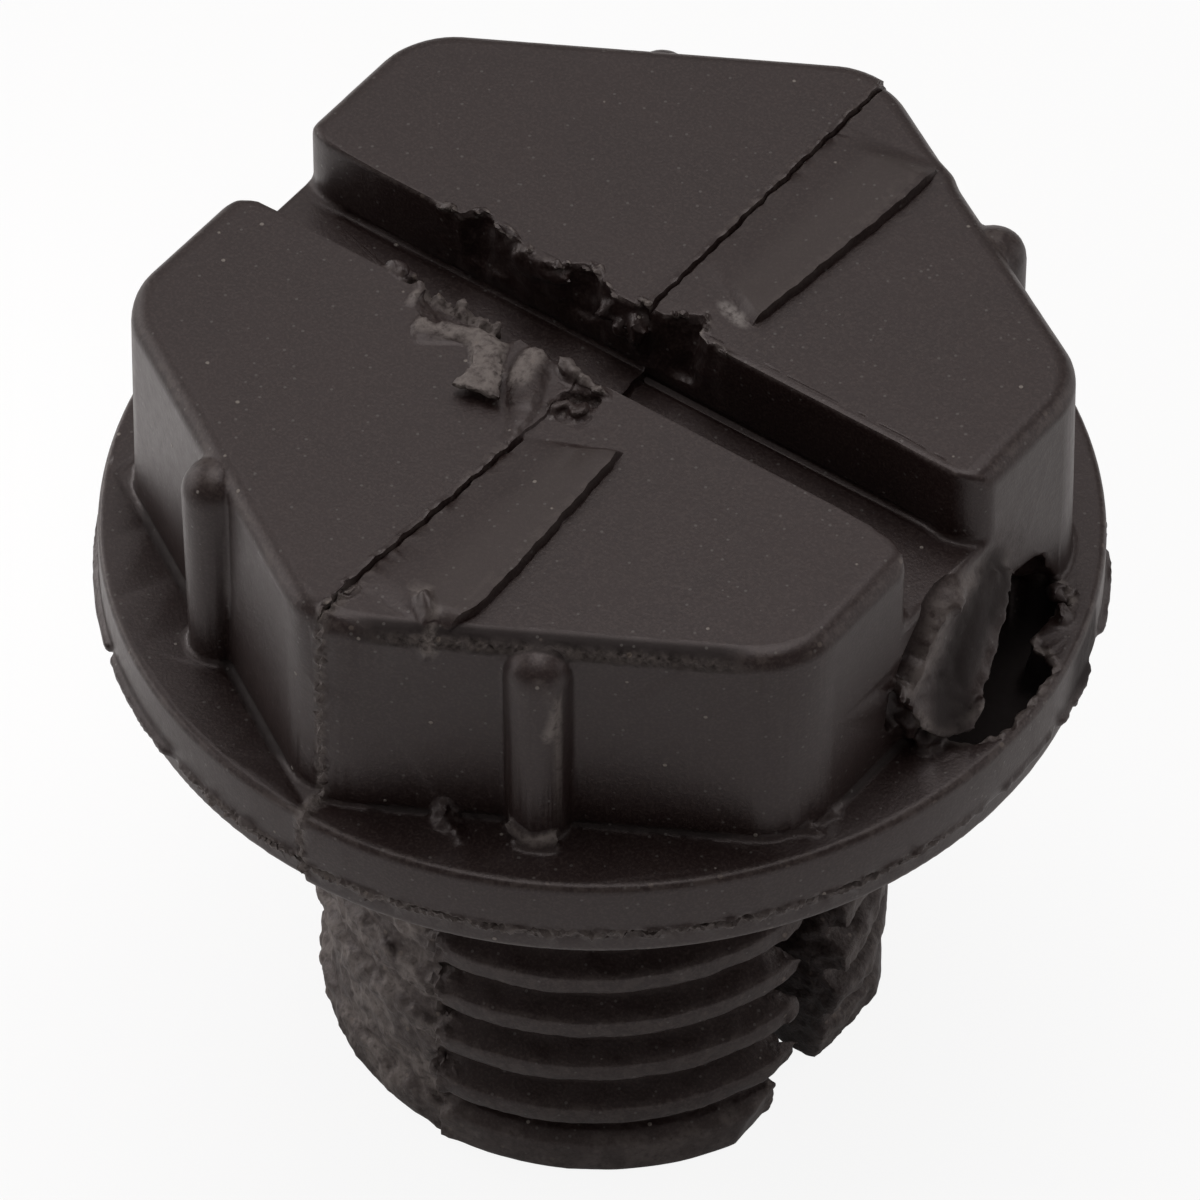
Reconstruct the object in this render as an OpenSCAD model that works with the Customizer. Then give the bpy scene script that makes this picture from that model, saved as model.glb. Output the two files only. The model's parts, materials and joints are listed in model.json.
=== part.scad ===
// Hex drain plug moulded in one piece from black plastic, with a screwdriver slot, a sealing flange
// and a short threaded stem that has a drain notch along it.
// Z runs up through the head, and z = 0 is the sealing face, the underside of the flange.
// X runs along the screwdriver slot, Y along the mould's parting line.

/* [Flange] */
// Diameter of the flange
flange_d = 22.7; // [22.4:0.1:26]
// Thickness of the flange
flange_h = 2.2; // [1.8:0.1:3]
// Height of the plain rim above the mould's flash
rim_h = 1.5; // [1.2:0.1:1.6]
// How far the step below the flash stands back
lip_step = 0.12; // [0.05:0.01:0.3]
// How far the flash stands out from the rim
flash_w = 0.24; // [0.1:0.01:0.4]
// Thickness of the flash
flash_t = 0.16; // [0.1:0.01:0.3]

/* [Hex head] */
// Width across the flats at the foot of the head
hex_w = 18.9; // [18:0.1:19.2]
// Height of the head above the flange
head_h = 5.6; // [4.5:0.1:8]
// Draft of the flats, in degrees
draft = 0.9; // [0.5:0.1:2]
// Radius of the six upright corners
corner_r = 1.9; // [1.2:0.1:2.5]
// Radius of the edge round the top
edge_r = 0.45; // [0.3:0.05:0.6]

/* [Slot] */
// Width of the screwdriver slot
slot_w = 2.3; // [1.6:0.1:3]
// Depth of the screwdriver slot
slot_d = 2.1; // [1.2:0.1:3]
// Radius of the slot's corners at its two mouths
mouth_r = 1.1; // [0.4:0.1:1.3]
// How much shallower the slot is on the left of the parting line
floor_step = 0.25; // [0.1:0.05:0.5]

/* [Torn flakes beside the slot] */
// Width of the flat flake
flake_w = 0.9; // [0.5:0.05:1.1]
// Length of the flat flake
flake_len = 1.9; // [1.2:0.05:2.4]
// Distance of the flat flake's middle from the middle of the slot
flake_x = -2.05; // [-2.3:0.05:-1.9]
// Turn of the flat flake away from the slot's square, in degrees
flake_turn = 22; // [10:1:30]
// How far the flat flake is lifted off the top, in degrees
flake_lift = 8; // [4:1:12]
// Half the thickness of the curled flake
curl_r = 0.26; // [0.15:0.01:0.35]
// Length of the curled flake
curl_len = 2.3; // [1.4:0.05:2.6]
// Distance of the curled flake's middle from the middle of the slot
curl_x = -0.5; // [-0.8:0.05:-0.3]
// Turn of the curled flake away from the slot's square, in degrees
curl_turn = 28; // [20:1:35]
// Radius of the blunt lump beside them
knob_r = 0.65; // [0.5:0.05:0.8]
// Height of that lump above the top
knob_h = 0.34; // [0.2:0.02:0.4]
// Distance of that lump from the middle of the slot
knob_x = 0.5; // [0.3:0.05:0.8]

/* [Ribs on the flats] */
// Radius of a half-round rib
rib_r = 0.75; // [0.5:0.05:1]
// How far the domed end of a rib stays below the top
rib_drop = 0.12; // [0.05:0.01:0.5]
// The same for the rib on the flat at 120 degrees, which is shorter
short_rib_drop = 0.45; // [0.05:0.05:0.8]
// Distance of the ribs from the middle of their flats, towards the parting line
rib_shift = 0.28; // [0:0.02:0.5]
// The same for the rib on the flat at 60 degrees, which stands the other way
odd_rib_shift = -0.45; // [-0.8:0.05:0.5]

/* [Ramps on the top] */
// Distance of the parting line from the middle
parting_x = 0.25; // [0:0.05:0.6]
// Distance of the ramps' steps from the middle
ramp_x = 2.72; // [2:0.02:3.5]
// Height of a ramp at its step
ramp_h = 0.22; // [0.1:0.02:0.3]
// How far a step leans out to each side of that distance along its length
ramp_lean = 0.22; // [0.1:0.02:0.4]
// Distance of the far ramp's inner end from the middle
far_ramp_inner = 2.1; // [2:0.05:3]
// Distance of the near ramp's inner end from the middle
near_ramp_inner = 2.8; // [2:0.05:3.5]
// Distance of the ramps' outer ends from the middle
ramp_outer = 8.3; // [7.5:0.1:8.4]

/* [Stem and thread] */
// Diameter over the thread's crests
thread_d = 13.4; // [12.6:0.1:14]
// Pitch of the thread
pitch = 1.5; // [1:0.05:2]
// Depth of the thread
thread_depth = 0.6; // [0.4:0.05:0.8]
// Depth of the thread on the rear half, where its grooves are nearly filled
worn_depth = 0.26; // [0.2:0.02:0.4]
// Length of the stem below the flange
stem_len = 12.9; // [10:0.1:16]
// Height of the plain neck between the flange and the thread
neck_h = 0.5; // [0.3:0.1:1.5]
// Height of the plain collar at the stem's end
collar_h = 1.25; // [0.8:0.05:1.6]
// Chamfer at the stem's end
end_chamfer = 0.2; // [0.1:0.02:0.4]

/* [Drain notch] */
// Width of the notch along the stem
notch_w = 1.9; // [1:0.1:3]
// Depth of the notch from the thread's crests
notch_d = 2.5; // [1.5:0.1:4]
// Distance of the notch's middle from the slot's line
notch_y = -0.55; // [-1:0.05:1]
// Distance of the slanted flat across the notch from the middle, at the stem's end
end_flat_x = 5.9; // [5.6:0.05:6.3]
// Slope of that flat, in degrees from upright
end_flat_slope = 14; // [8:1:20]

/* [Gate marks] */
// Radius of the crater that the broken gate left in the flange
crater_r = 1.25; // [0.7:0.05:1.4]
// Length of the crater along the flat
crater_len = 4.8; // [3:0.1:5.4]
// Place of the crater along the flat
crater_y = 1.5; // [0.5:0.1:2]
// Half the thickness of the curled lump that leans on the flat beside it
lump_r = 0.85; // [0.5:0.05:1]
// Length of the curled lump
lump_len = 4.1; // [3:0.1:4.6]
// Place of the lump's middle along the flat
lump_y = 0.25; // [0:0.05:1]
// Height of the lump's middle above the flange
lump_z = 1.25; // [0.9:0.05:1.6]
// Slope of the lump, in degrees
lump_slope = 47; // [30:1:55]
// How far the lump's foot stands out from the flat, in degrees
lump_lean = 15; // [5:1:25]

/* [Hidden] */
$fn = 96;

black_plastic = [0.045, 0.042, 0.040];
eps = 0.02;

flange_r = flange_d / 2;
top_z = flange_h + head_h;
flat_r = hex_w / 2;
slope = tan(draft);
flat_top_r = flat_r - head_h * slope;
crest_r = thread_d / 2;
root_r = crest_r - thread_depth;
collar_r = crest_r - end_chamfer / 2;
flash_z = flange_h - rim_h;
slot_z = top_z - slot_d;
mouth_x = flat_top_r * 1.02;

// A thread ridge's section: a flat crest between two sloping flanks
crest_w = pitch * 0.34;
ridge_w = pitch * 0.82;
lead_tilt = atan(pitch / 2 / thread_d);
first_ridge_z = -stem_len + collar_h + pitch * 0.77;
ridge_count = floor((-first_ridge_z - neck_h - ridge_w / 2) / pitch) + 1;

// Stretches of flash that are left round the rim: [from, to], in degrees
flash_arcs = [[8, 20], [24, 53], [68, 121], [134, 171], [186, 271], [277, 308], [322, 352]];

// Bites torn out of the slot's far edge: [middle along the slot, width, depth]
bites = [[-4.4, 0.95, 0.25], [-1.6, 1.25, 0.35], [1.25, 1.1, 0.5]];

// Tears in the slot's near edge, the same way
tears = [[-3.5, 1.5, 0.45], [0.2, 1.3, 0.4]];

// Points of an arc round c, from angle a to angle b
function arc(c, r, a, b, n) = [for (i = [0:n]) c + r * [cos(a + (b - a) * i / n), sin(a + (b - a) * i / n)]];

// One rounded upright corner of the head, as a turned post with the draft and the top edge's round
module corner_post() {
    foot = corner_r;
    neck = corner_r - (head_h - edge_r) * slope;
    rotate_extrude($fn = 28)
        polygon(concat(
            [[0, 0], [foot, 0]],
            arc([neck - edge_r, head_h - edge_r], edge_r, 0, 90, 5),
            [[0, head_h]]
        ));
}

// The hexagonal head, a solid block with all its corners and its top edge rounded
module head_block() {
    reach = (flat_r - corner_r) / cos(30);
    translate([0, 0, flange_h])
        hull()
            for (a = [30:60:330])
                rotate([0, 0, a])
                    translate([reach, 0, 0])
                        corner_post();
}

// A half-round rib with a domed top, upright on the flat that faces the angle a
module rib(a, shift, drop = rib_drop) {
    tall = head_h - drop - rib_r;
    rotate([0, 0, a])
        translate([flat_top_r, shift, flange_h - eps]) {
            cylinder(r = rib_r, h = tall + eps, $fn = 48);
            translate([0, 0, tall + eps])
                sphere(r = rib_r, $fn = 48);
        }
}

module ribs() {
    rib(-60, -rib_shift);
    rib(-120, rib_shift);
    rib(120, -rib_shift, short_rib_drop);
    rib(60, odd_rib_shift);
}

// A wedge beside the parting line that rises away from it and ends in a step
module ramp(inner) {
    rise = atan(ramp_h / (ramp_x - parting_x));
    intersection() {
        translate([0, 0, top_z - edge_r])
            linear_extrude(edge_r + 1)
                polygon([
                    [parting_x, inner + 0.8], [ramp_x - ramp_lean, inner], [ramp_x + ramp_lean, ramp_outer],
                    [ramp_x - ramp_lean, ramp_outer + 0.5], [parting_x, ramp_outer]
                ]);
        translate([parting_x, 0, top_z - eps])
            rotate([0, -rise, 0])
                translate([-1, 0, -1])
                    cube([ramp_x + 2, flat_r, 1]);
    }
}

module ramps() {
    ramp(far_ramp_inner);
    mirror([0, 1, 0])
        ramp(near_ramp_inner);
}

// The slot's outline, with a round corner on each side of both mouths
module slot_outline() {
    half_w = slot_w / 2;
    out_x = flat_r + 2;
    quarter = concat(
        arc([mouth_x - mouth_r, half_w + mouth_r], mouth_r, -90, 0, 8),
        [[out_x, half_w + mouth_r]]
    );
    polygon(concat(
        quarter,
        [for (i = [len(quarter) - 1:-1:0]) [quarter[i][0], -quarter[i][1]]],
        [for (p = quarter) [-p[0], -p[1]]],
        [for (i = [len(quarter) - 1:-1:0]) [-quarter[i][0], quarter[i][1]]]
    ));
}

module slot_cut() {
    difference() {
        translate([0, 0, slot_z])
            linear_extrude(slot_d + 1)
                slot_outline();
        translate([parting_x - flange_d, -flange_r, slot_z - 1])
            cube([flange_d, flange_d, 1 + floor_step]);
    }
    for (b = bites)
        translate([b[0] - b[1] / 2, slot_w / 2 - eps, slot_z + slot_d * 0.45])
            cube([b[1], b[2] + eps, slot_d]);
    for (t = tears)
        translate([t[0] - t[1] / 2, -slot_w / 2 - t[2], slot_z + slot_d * 0.55])
            cube([t[1], t[2] + eps, slot_d]);
}

// The flange, with a lower lip that stands back a little below the flash
module flange() {
    bevel = 0.1;
    rotate_extrude()
        polygon([
            [0, 0], [flange_r - lip_step - bevel, 0], [flange_r - lip_step, bevel], [flange_r - lip_step, flash_z],
            [flange_r, flash_z], [flange_r, flange_h - bevel], [flange_r - bevel, flange_h], [0, flange_h]
        ]);
}

module flash() {
    for (f = flash_arcs)
        rotate([0, 0, f[0]])
            rotate_extrude(angle = f[1] - f[0])
                translate([flange_r - 0.5, flash_z])
                    square([0.5 + flash_w, flash_t]);
}

// The stem's core, with a plain collar at its end
module stem_core() {
    rotate_extrude()
        polygon([
            [0, -stem_len], [collar_r - end_chamfer, -stem_len], [collar_r, -stem_len + end_chamfer],
            [collar_r, -stem_len + collar_h - thread_depth / 2], [root_r, -stem_len + collar_h],
            [root_r, eps], [0, eps]
        ]);
}

// Half a turn of the thread in one half of the mould, from the parting line round to the parting line
module half_turn(z, side) {
    translate([0, 0, z])
        rotate([side * lead_tilt, 0, 0])
            rotate([0, 0, side * -90])
                rotate_extrude(angle = 180)
                    polygon([
                        [root_r - 0.3, -ridge_w / 2], [root_r, -ridge_w / 2], [crest_r, -crest_w / 2],
                        [crest_r, crest_w / 2], [root_r, ridge_w / 2], [root_r - 0.3, ridge_w / 2]
                    ]);
}

// The rear half's thicker core, which leaves its thread shallow
module worn_core() {
    worn_r = crest_r - worn_depth;
    rotate([0, 0, 90])
        rotate_extrude(angle = 180)
            polygon([
                [0, -stem_len + collar_h / 2], [worn_r, -stem_len + collar_h / 2],
                [worn_r, -neck_h - thread_depth], [root_r, -neck_h], [0, -neck_h]
            ]);
}

module thread() {
    for (i = [0:ridge_count - 1])
        half_turn(first_ridge_z + i * pitch, 1);
    for (i = [0:ridge_count - 2])
        half_turn(first_ridge_z + (i + 0.5) * pitch, -1);
    worn_core();
}

// The notch that lets the oil run out along the thread before the plug is right out
module notch_cut() {
    translate([crest_r - notch_d, notch_y - notch_w / 2, -stem_len - 1])
        cube([notch_d + 2, notch_w, stem_len + 1]);
}

// The slanted flat that takes the stem's corner away on both sides of the notch
module end_flat_cut() {
    translate([end_flat_x, -crest_r, -stem_len])
        rotate([0, end_flat_slope, 0])
            translate([0, 0, -1])
                cube([thread_depth * 4, thread_d, stem_len / 2]);
}

// A round bar with blunt, narrowing ends, lying along Y
module bar(r, long) {
    half = long / 2;
    rotate([-90, 0, 0])
        rotate_extrude($fn = 48)
            polygon([
                [0, -half], [r * 0.5, -half], [r, -half + r * 0.6], [r, half - r * 0.6], [r * 0.5, half], [0, half]
            ]);
}

// The hollow that the broken gate left in the top of the flange
module crater_cut() {
    translate([flat_r + crater_r * 0.75, crater_y, flange_h + crater_r * 0.15])
        bar(crater_r, crater_len);
}

// The curled lump of plastic that leans on the flat beside the crater
module gate_lump() {
    translate([flat_r + lump_r * 0.1, lump_y, flange_h + lump_z])
        rotate([lump_slope, 0, lump_lean])
            bar(lump_r, lump_len);
}

// What was torn out of the slot's near edge and folded back on the top: a flat flake that lifts off
// again, a curled one and a blunt lump
module torn_flakes() {
    edge_y = -slot_w / 2;
    translate([flake_x, edge_y, top_z])
        rotate([-flake_lift, 0, flake_turn])
            translate([-flake_w / 2, -flake_len, -edge_r])
                cube([flake_w, flake_len, edge_r + curl_r / 2]);
    translate([curl_x, edge_y - curl_len / 2, top_z])
        rotate([0, 0, curl_turn])
            bar(curl_r, curl_len);
    translate([knob_x, edge_y - knob_r, top_z - eps])
        cylinder(r1 = knob_r, r2 = knob_r / 2, h = knob_h + eps);
}

module drain_plug() {
    color(black_plastic)
        difference() {
            union() {
                difference() {
                    union() {
                        head_block();
                        ribs();
                        ramps();
                        flange();
                        flash();
                    }
                    slot_cut();
                    crater_cut();
                }
                gate_lump();
                torn_flakes();
                stem_core();
                thread();
            }
            notch_cut();
            end_flat_cut();
        }
}

drain_plug();
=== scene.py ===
import json
import math

import bpy
import numpy as np
from mathutils import Matrix, Vector, noise

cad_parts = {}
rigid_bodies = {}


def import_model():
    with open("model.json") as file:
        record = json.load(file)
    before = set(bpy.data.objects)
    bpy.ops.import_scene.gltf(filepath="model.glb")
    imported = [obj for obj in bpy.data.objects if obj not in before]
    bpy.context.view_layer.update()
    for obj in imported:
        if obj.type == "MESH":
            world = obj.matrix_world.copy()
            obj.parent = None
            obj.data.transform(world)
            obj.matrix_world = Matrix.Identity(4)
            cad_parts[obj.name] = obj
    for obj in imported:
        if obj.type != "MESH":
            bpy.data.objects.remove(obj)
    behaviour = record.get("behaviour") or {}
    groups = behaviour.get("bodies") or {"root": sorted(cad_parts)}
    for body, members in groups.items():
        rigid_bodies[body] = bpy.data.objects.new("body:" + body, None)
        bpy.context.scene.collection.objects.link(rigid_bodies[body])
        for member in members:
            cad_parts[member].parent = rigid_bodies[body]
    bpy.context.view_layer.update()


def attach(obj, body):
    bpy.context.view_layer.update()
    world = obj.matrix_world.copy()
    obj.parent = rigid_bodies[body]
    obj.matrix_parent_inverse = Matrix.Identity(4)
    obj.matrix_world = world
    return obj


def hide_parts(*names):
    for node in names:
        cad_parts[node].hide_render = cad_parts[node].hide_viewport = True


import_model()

# All shapes are worked in millimetres, in the CAD frame, and scaled to metres when they are done
MM = 0.001

# Flange
FLANGE_R = 11.35
FLANGE_H = 2.2
RIM_H = 1.5
LIP_STEP = 0.12
FLASH_T = 0.17

# Head
HEX_W = 18.9
HEAD_H = 5.6
DRAFT = math.tan(math.radians(0.9))
CORNER_R = 1.9
EDGE_R = 0.45
TOP_Z = FLANGE_H + HEAD_H
FLAT_R = HEX_W / 2
FLAT_TOP_R = FLAT_R - HEAD_H * DRAFT
PARTING_X = 0.3

# Slot
SLOT_W = 2.3
SLOT_D = 2.1
FLOOR_STEP = 0.25
MOUTH_R = 1.1
MOUTH_X = FLAT_TOP_R * 1.02

# Ribs
RIB_R = 0.75

# Stem and thread
THREAD_R = 6.7
PITCH = 1.5
THREAD_DEPTH = 0.6
# Half the width of a thread ridge at its crest and at its root, as shares of the pitch
CREST_HALF = 0.17
ROOT_HALF = 0.53
ROOT_R = THREAD_R - THREAD_DEPTH
WORN_R = THREAD_R - 0.26
STEM_LEN = 12.9
COLLAR_H = 1.25
NECK_H = 0.5
FIRST_RIDGE_Z = -STEM_LEN + COLLAR_H + PITCH * 0.77
RIDGES = 7
LEAD_TILT = math.atan(PITCH / 2 / (2 * THREAD_R))
END_FLAT_X = 5.9
END_FLAT_SLOPE = 14

# Drain notch
NOTCH_W = 1.9
NOTCH_D = 2.5
NOTCH_Y = -0.55

# Fineness of the finished skin, the most triangles it may have, and how high the raised flake may reach
SKIN = 0.075
FACE_LIMIT = 194000
HIGHEST = TOP_Z + 0.385

# How near a corner or edge lies to the place that picks it
CLOSE = 0.001



def only(piece):
    bpy.ops.object.select_all(action="DESELECT")
    piece.select_set(True)
    bpy.context.view_layer.objects.active = piece


def placed(name):
    """Names the new primitive and puts its place into its mesh."""
    piece = bpy.context.active_object
    only(piece)
    bpy.ops.object.transform_apply(location=True, rotation=True, scale=True)
    piece.name = name
    return piece


def choose(piece, kind, test):
    """Goes into edit mode with the corners, edges or faces selected that pass the test."""
    only(piece)
    bpy.ops.object.mode_set(mode="EDIT")
    bpy.ops.mesh.select_mode(type=kind)
    bpy.ops.mesh.select_all(action="DESELECT")
    bpy.ops.object.mode_set(mode="OBJECT")
    mesh = piece.data
    if kind == "VERT":
        for v in mesh.vertices:
            v.select = test(v.co)
    elif kind == "EDGE":
        for e in mesh.edges:
            a = mesh.vertices[e.vertices[0]].co
            b = mesh.vertices[e.vertices[1]].co
            e.select = test((a + b) / 2, (b - a).normalized())
    else:
        for f in mesh.polygons:
            f.select = test(f.center, f.normal)
    bpy.ops.object.mode_set(mode="EDIT")


def leave():
    bpy.ops.object.mode_set(mode="OBJECT")


def at_height(z):
    """A test that picks the level edges at a height."""
    return lambda c, d: abs(c.z - z) < CLOSE


def round_edges(piece, test, offset, segments):
    """Bevels the edges that pass the test."""
    choose(piece, "EDGE", test)
    bpy.ops.mesh.bevel(offset=offset, segments=segments, affect="EDGES")
    leave()


def cylinder(name, radius, low, high, sides=192, at=(0, 0)):
    bpy.ops.mesh.primitive_cylinder_add(
        vertices=sides, radius=radius, depth=high - low, location=(at[0], at[1], (low + high) / 2)
    )
    return placed(name)


def block(name, low, high):
    """A box from its low corner to its high corner."""
    middle = [(a + b) / 2 for a, b in zip(low, high)]
    size = [b - a for a, b in zip(low, high)]
    bpy.ops.mesh.primitive_cube_add(size=1, location=middle, scale=size)
    return placed(name)


def prism(name, outline, low, steps):
    """A shape that rises from its outline in steps: each a height, a centre and a growth in X and Y."""
    bpy.ops.mesh.primitive_circle_add(vertices=len(outline), radius=1, fill_type="NGON")
    piece = placed(name)
    for v, (x, y) in zip(piece.data.vertices, outline):
        v.co = (x, y, low)
    choose(piece, "FACE", lambda c, n: True)
    for height, centre, growth in steps:
        bpy.ops.mesh.extrude_region_move(TRANSFORM_OT_translate={"value": (0, 0, height)})
        if growth != (1, 1):
            bpy.ops.transform.resize(value=(*growth, 1), center_override=(*centre, 0))
    bpy.ops.mesh.select_all(action="SELECT")
    bpy.ops.mesh.normals_make_consistent(inside=False)
    leave()
    return piece


def arc(centre, radius, start, end, count):
    """Points of an arc, angles in degrees."""
    angles = [math.radians(start + (end - start) * i / count) for i in range(count + 1)]
    return [(centre[0] + radius * math.cos(a), centre[1] + radius * math.sin(a)) for a in angles]


def ragged(outline, step, amount, seed):
    """The closed outline with points added along it and pushed about."""
    result = []
    for (x0, y0), (x1, y1) in zip(outline, outline[1:] + outline[:1]):
        count = max(1, round(math.hypot(x1 - x0, y1 - y0) / step))
        for i in range(count):
            x = x0 + (x1 - x0) * i / count
            y = y0 + (y1 - y0) * i / count
            shift = noise.noise_vector(Vector((x * 3.1, y * 3.1, seed))) * amount
            result.append((x + shift.x, y + shift.y))
    return result


def modify(piece, kind, **settings):
    """Adds a modifier with its settings and applies it."""
    m = piece.modifiers.new(kind.lower(), kind)
    for key, value in settings.items():
        setattr(m, key, value)
    only(piece)
    bpy.ops.object.modifier_apply(modifier=m.name)


def cut(piece, tool, solver="EXACT"):
    modify(piece, "BOOLEAN", operation="DIFFERENCE", solver=solver, object=tool)
    bpy.data.objects.remove(tool)


def joined(pieces):
    bpy.ops.object.select_all(action="DESELECT")
    for p in pieces:
        p.select_set(True)
    bpy.context.view_layer.objects.active = pieces[0]
    bpy.ops.object.join()
    return pieces[0]


def twin(piece, name):
    copy = piece.copy()
    copy.data = piece.data.copy()
    copy.name = name
    bpy.context.collection.objects.link(copy)
    return copy


def moved(piece, place):
    """Puts a matrix into a piece's mesh."""
    piece.matrix_world = place
    only(piece)
    bpy.ops.object.transform_apply(location=True, rotation=True, scale=True)
    return piece


def turned(piece, angle=0.0, tilt=0.0, lift=0.0):
    """Tilts a piece about X, lifts it, then turns it about Z, in its mesh."""
    place = Matrix.Rotation(angle, 4, "Z") @ Matrix.Translation((0, 0, lift)) @ Matrix.Rotation(tilt, 4, "X")
    return moved(piece, place)


def smooth_step(low, high, value):
    t = np.clip((value - low) / (high - low), 0, 1)
    return t * t * (3 - 2 * t)


def fall(low, high, value):
    """1 up to low, 0 from high on."""
    return 1 - smooth_step(low, high, value)


def plateau(a, b, c, d, value):
    """0 up to a, 1 from b to c, 0 from d on."""
    return smooth_step(a, b, value) * fall(c, d, value)


# Head


def slot_cutter(side, floor):
    """Half of the slot, from the parting line out through its mouth, with the mouth's corners rounded."""
    half = SLOT_W / 2
    quarter = arc((MOUTH_X - MOUTH_R, half + MOUTH_R), MOUTH_R, -90, 0, 8) + [(12, half + MOUTH_R)]
    inner = PARTING_X * side
    outline = [(inner, half)] + quarter + [(x, -y) for x, y in reversed(quarter)] + [(inner, -half)]
    outline = [(x * side, y) for x, y in outline]
    return prism("slot", outline, floor, [(TOP_Z + 1 - floor, (0, 0), (1, 1))])


def model_head():
    foot = 0.2
    bpy.ops.mesh.primitive_cylinder_add(
        vertices=6,
        radius=FLAT_R / math.cos(math.radians(30)),
        depth=HEAD_H + foot,
        location=(0, 0, FLANGE_H - foot + (HEAD_H + foot) / 2),
    )
    head = placed("head")
    # The flats lean in towards the top
    choose(head, "FACE", lambda c, n: n.z > 0.9)
    lean = FLAT_TOP_R / FLAT_R
    bpy.ops.transform.resize(value=(lean, lean, 1), center_override=(0, 0, 0))
    leave()
    # Round upright corners, then the round edge round the top
    round_edges(head, lambda c, d: abs(d.z) > 0.9, CORNER_R * math.tan(math.radians(30)), 9)
    round_edges(head, at_height(TOP_Z), EDGE_R, 5)
    # The slot, shallower on the left of the parting line
    cut(head, slot_cutter(1, TOP_Z - SLOT_D))
    cut(head, slot_cutter(-1, TOP_Z - SLOT_D + FLOOR_STEP))
    return head


def model_rib(name, angle, shift, drop, foot_grow):
    """An upright half-round rib with a domed top on the flat that faces the angle."""
    top = TOP_Z - drop
    rib = cylinder(name, RIB_R, FLANGE_H - 0.2, top, sides=32, at=(FLAT_TOP_R, shift))
    round_edges(rib, at_height(top), RIB_R * 0.97, 7)
    choose(rib, "VERT", lambda c: c.z < FLANGE_H)
    bpy.ops.transform.resize(value=(foot_grow, foot_grow, 1), center_override=(FLAT_TOP_R, shift, 0))
    leave()
    return turned(rib, angle=math.radians(angle))


# The ribs: their facing, their shift along the flat, how far below the top they end, their foot's growth
RIBS = {
    "rib_front": (-60, -0.28, 0.14, 0.95), "rib_left": (-120, 0.30, 0.10, 0.95),
    "rib_back": (120, -0.28, 0.45, 1.0), "rib_right": (60, -0.45, 0.12, 1.0),
}


# The two ramps beside the parting line: the step's line (Y, X) of each
RAMPS = {
    "far": ([1.9, 2.25, 3.4, 5.15, 6.6, 8.1, 8.9], [2.42, 2.48, 2.62, 2.76, 2.90, 2.98, 2.90]),
    "near": ([-9.4, -8.3, -7.3, -5.96, -4.2, -2.6], [2.50, 2.84, 2.82, 2.74, 2.62, 2.50]),
}
RAMP_H = 0.18
RAMP_STEP_X = 2.7
STEP_H = 0.06
SLIT_DEPTH = 0.10
LIP_LINE_Y = 1.42


# Flange and flash

# Stretches of flash round the rim: from, to (degrees) and how far it reaches past the rim
FLASH = [
    (-187, -172, 0.12), (-172, -160, 0.38), (-160, -128, 0.26), (-128, -110, 0.20), (-110, -89, 0.12),
    (-84, -60, 0.05), (-52, -30, 0.06), (-26, -4, 0.06), (-3, 9, 0.09), (9, 20, 0.17), (24, 38, 0.2),
    (38, 53, 0.16), (68, 121, 0.12), (134, 171, 0.10),
]
FLASH_MOST = 0.19
# The widest tab of flash: its middle, half its width and its reach
TAB_AT, TAB_HALF, TAB_REACH = -165, 8, 0.36


def flash_reach(angle):
    reach = 0.0
    for low, high, proud in FLASH:
        for turn in (-360, 0, 360):
            a = angle + turn
            if low <= a <= high:
                ends = min(a - low, high - a)
                reach = max(reach, proud * min(1, ends / 1.2))
    if reach > 0:
        swell = noise.noise(Vector((angle * 0.9, 3.1, 0))) + 0.7 * noise.noise(Vector((angle * 2.7, 7.7, 0)))
        reach = max(reach * (1 + 0.6 * swell), 0)
    return min(reach, TAB_REACH if abs(angle - TAB_AT) < TAB_HALF else FLASH_MOST)


def model_flange():
    low = FLANGE_H - RIM_H
    rim = cylinder("flange", FLANGE_R, low, FLANGE_H, sides=320)
    round_edges(rim, at_height(FLANGE_H), 0.16, 3)
    lip = cylinder("lip", FLANGE_R - LIP_STEP, 0, low + 0.1, sides=320)
    round_edges(lip, at_height(0), 0.1, 2)
    sunk = 0.03
    flash = cylinder("flash", FLANGE_R, low - sunk, low - sunk + FLASH_T, sides=1440)
    for v in flash.data.vertices:
        reach = flash_reach(math.degrees(math.atan2(v.co.y, v.co.x)))
        grow = (FLANGE_R - sunk + reach) / FLANGE_R
        v.co.x *= grow
        v.co.y *= grow
    return [rim, lip, flash]


# Stem


def model_ridge(name, side):
    """Half a turn of thread ridge in one half of the mould, at height 0."""
    bpy.ops.mesh.primitive_plane_add(size=2, rotation=(math.pi / 2, 0, 0))
    ridge = placed(name)
    for v in ridge.data.vertices:
        outside = v.co.x > 0
        half = PITCH * (CREST_HALF if outside else ROOT_HALF)
        v.co = (THREAD_R if outside else ROOT_R - 0.3, 0, math.copysign(half, v.co.z))
    ridge = turned(ridge, angle=math.radians(-90 * side))
    choose(ridge, "FACE", lambda c, n: True)
    bpy.ops.mesh.spin(steps=96, angle=math.pi, center=(0, 0, 0), axis=(0, 0, 1))
    bpy.ops.mesh.select_all(action="SELECT")
    bpy.ops.mesh.remove_doubles(threshold=0.0001)
    bpy.ops.mesh.normals_make_consistent(inside=False)
    leave()
    # The spin may go either way round
    if sum(v.co.x for v in ridge.data.vertices) * side < 0:
        turned(ridge, angle=math.pi)
    return ridge


def end_flat_tool():
    """The slanted flat across the notch, at the stem's end."""
    flat = block("end_flat", (0, -THREAD_R, -1), (3, THREAD_R, 6))
    place = Matrix.Translation((END_FLAT_X, 0, -STEM_LEN))
    flat.matrix_world = place @ Matrix.Rotation(math.radians(END_FLAT_SLOPE), 4, "Y")
    return flat


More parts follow.
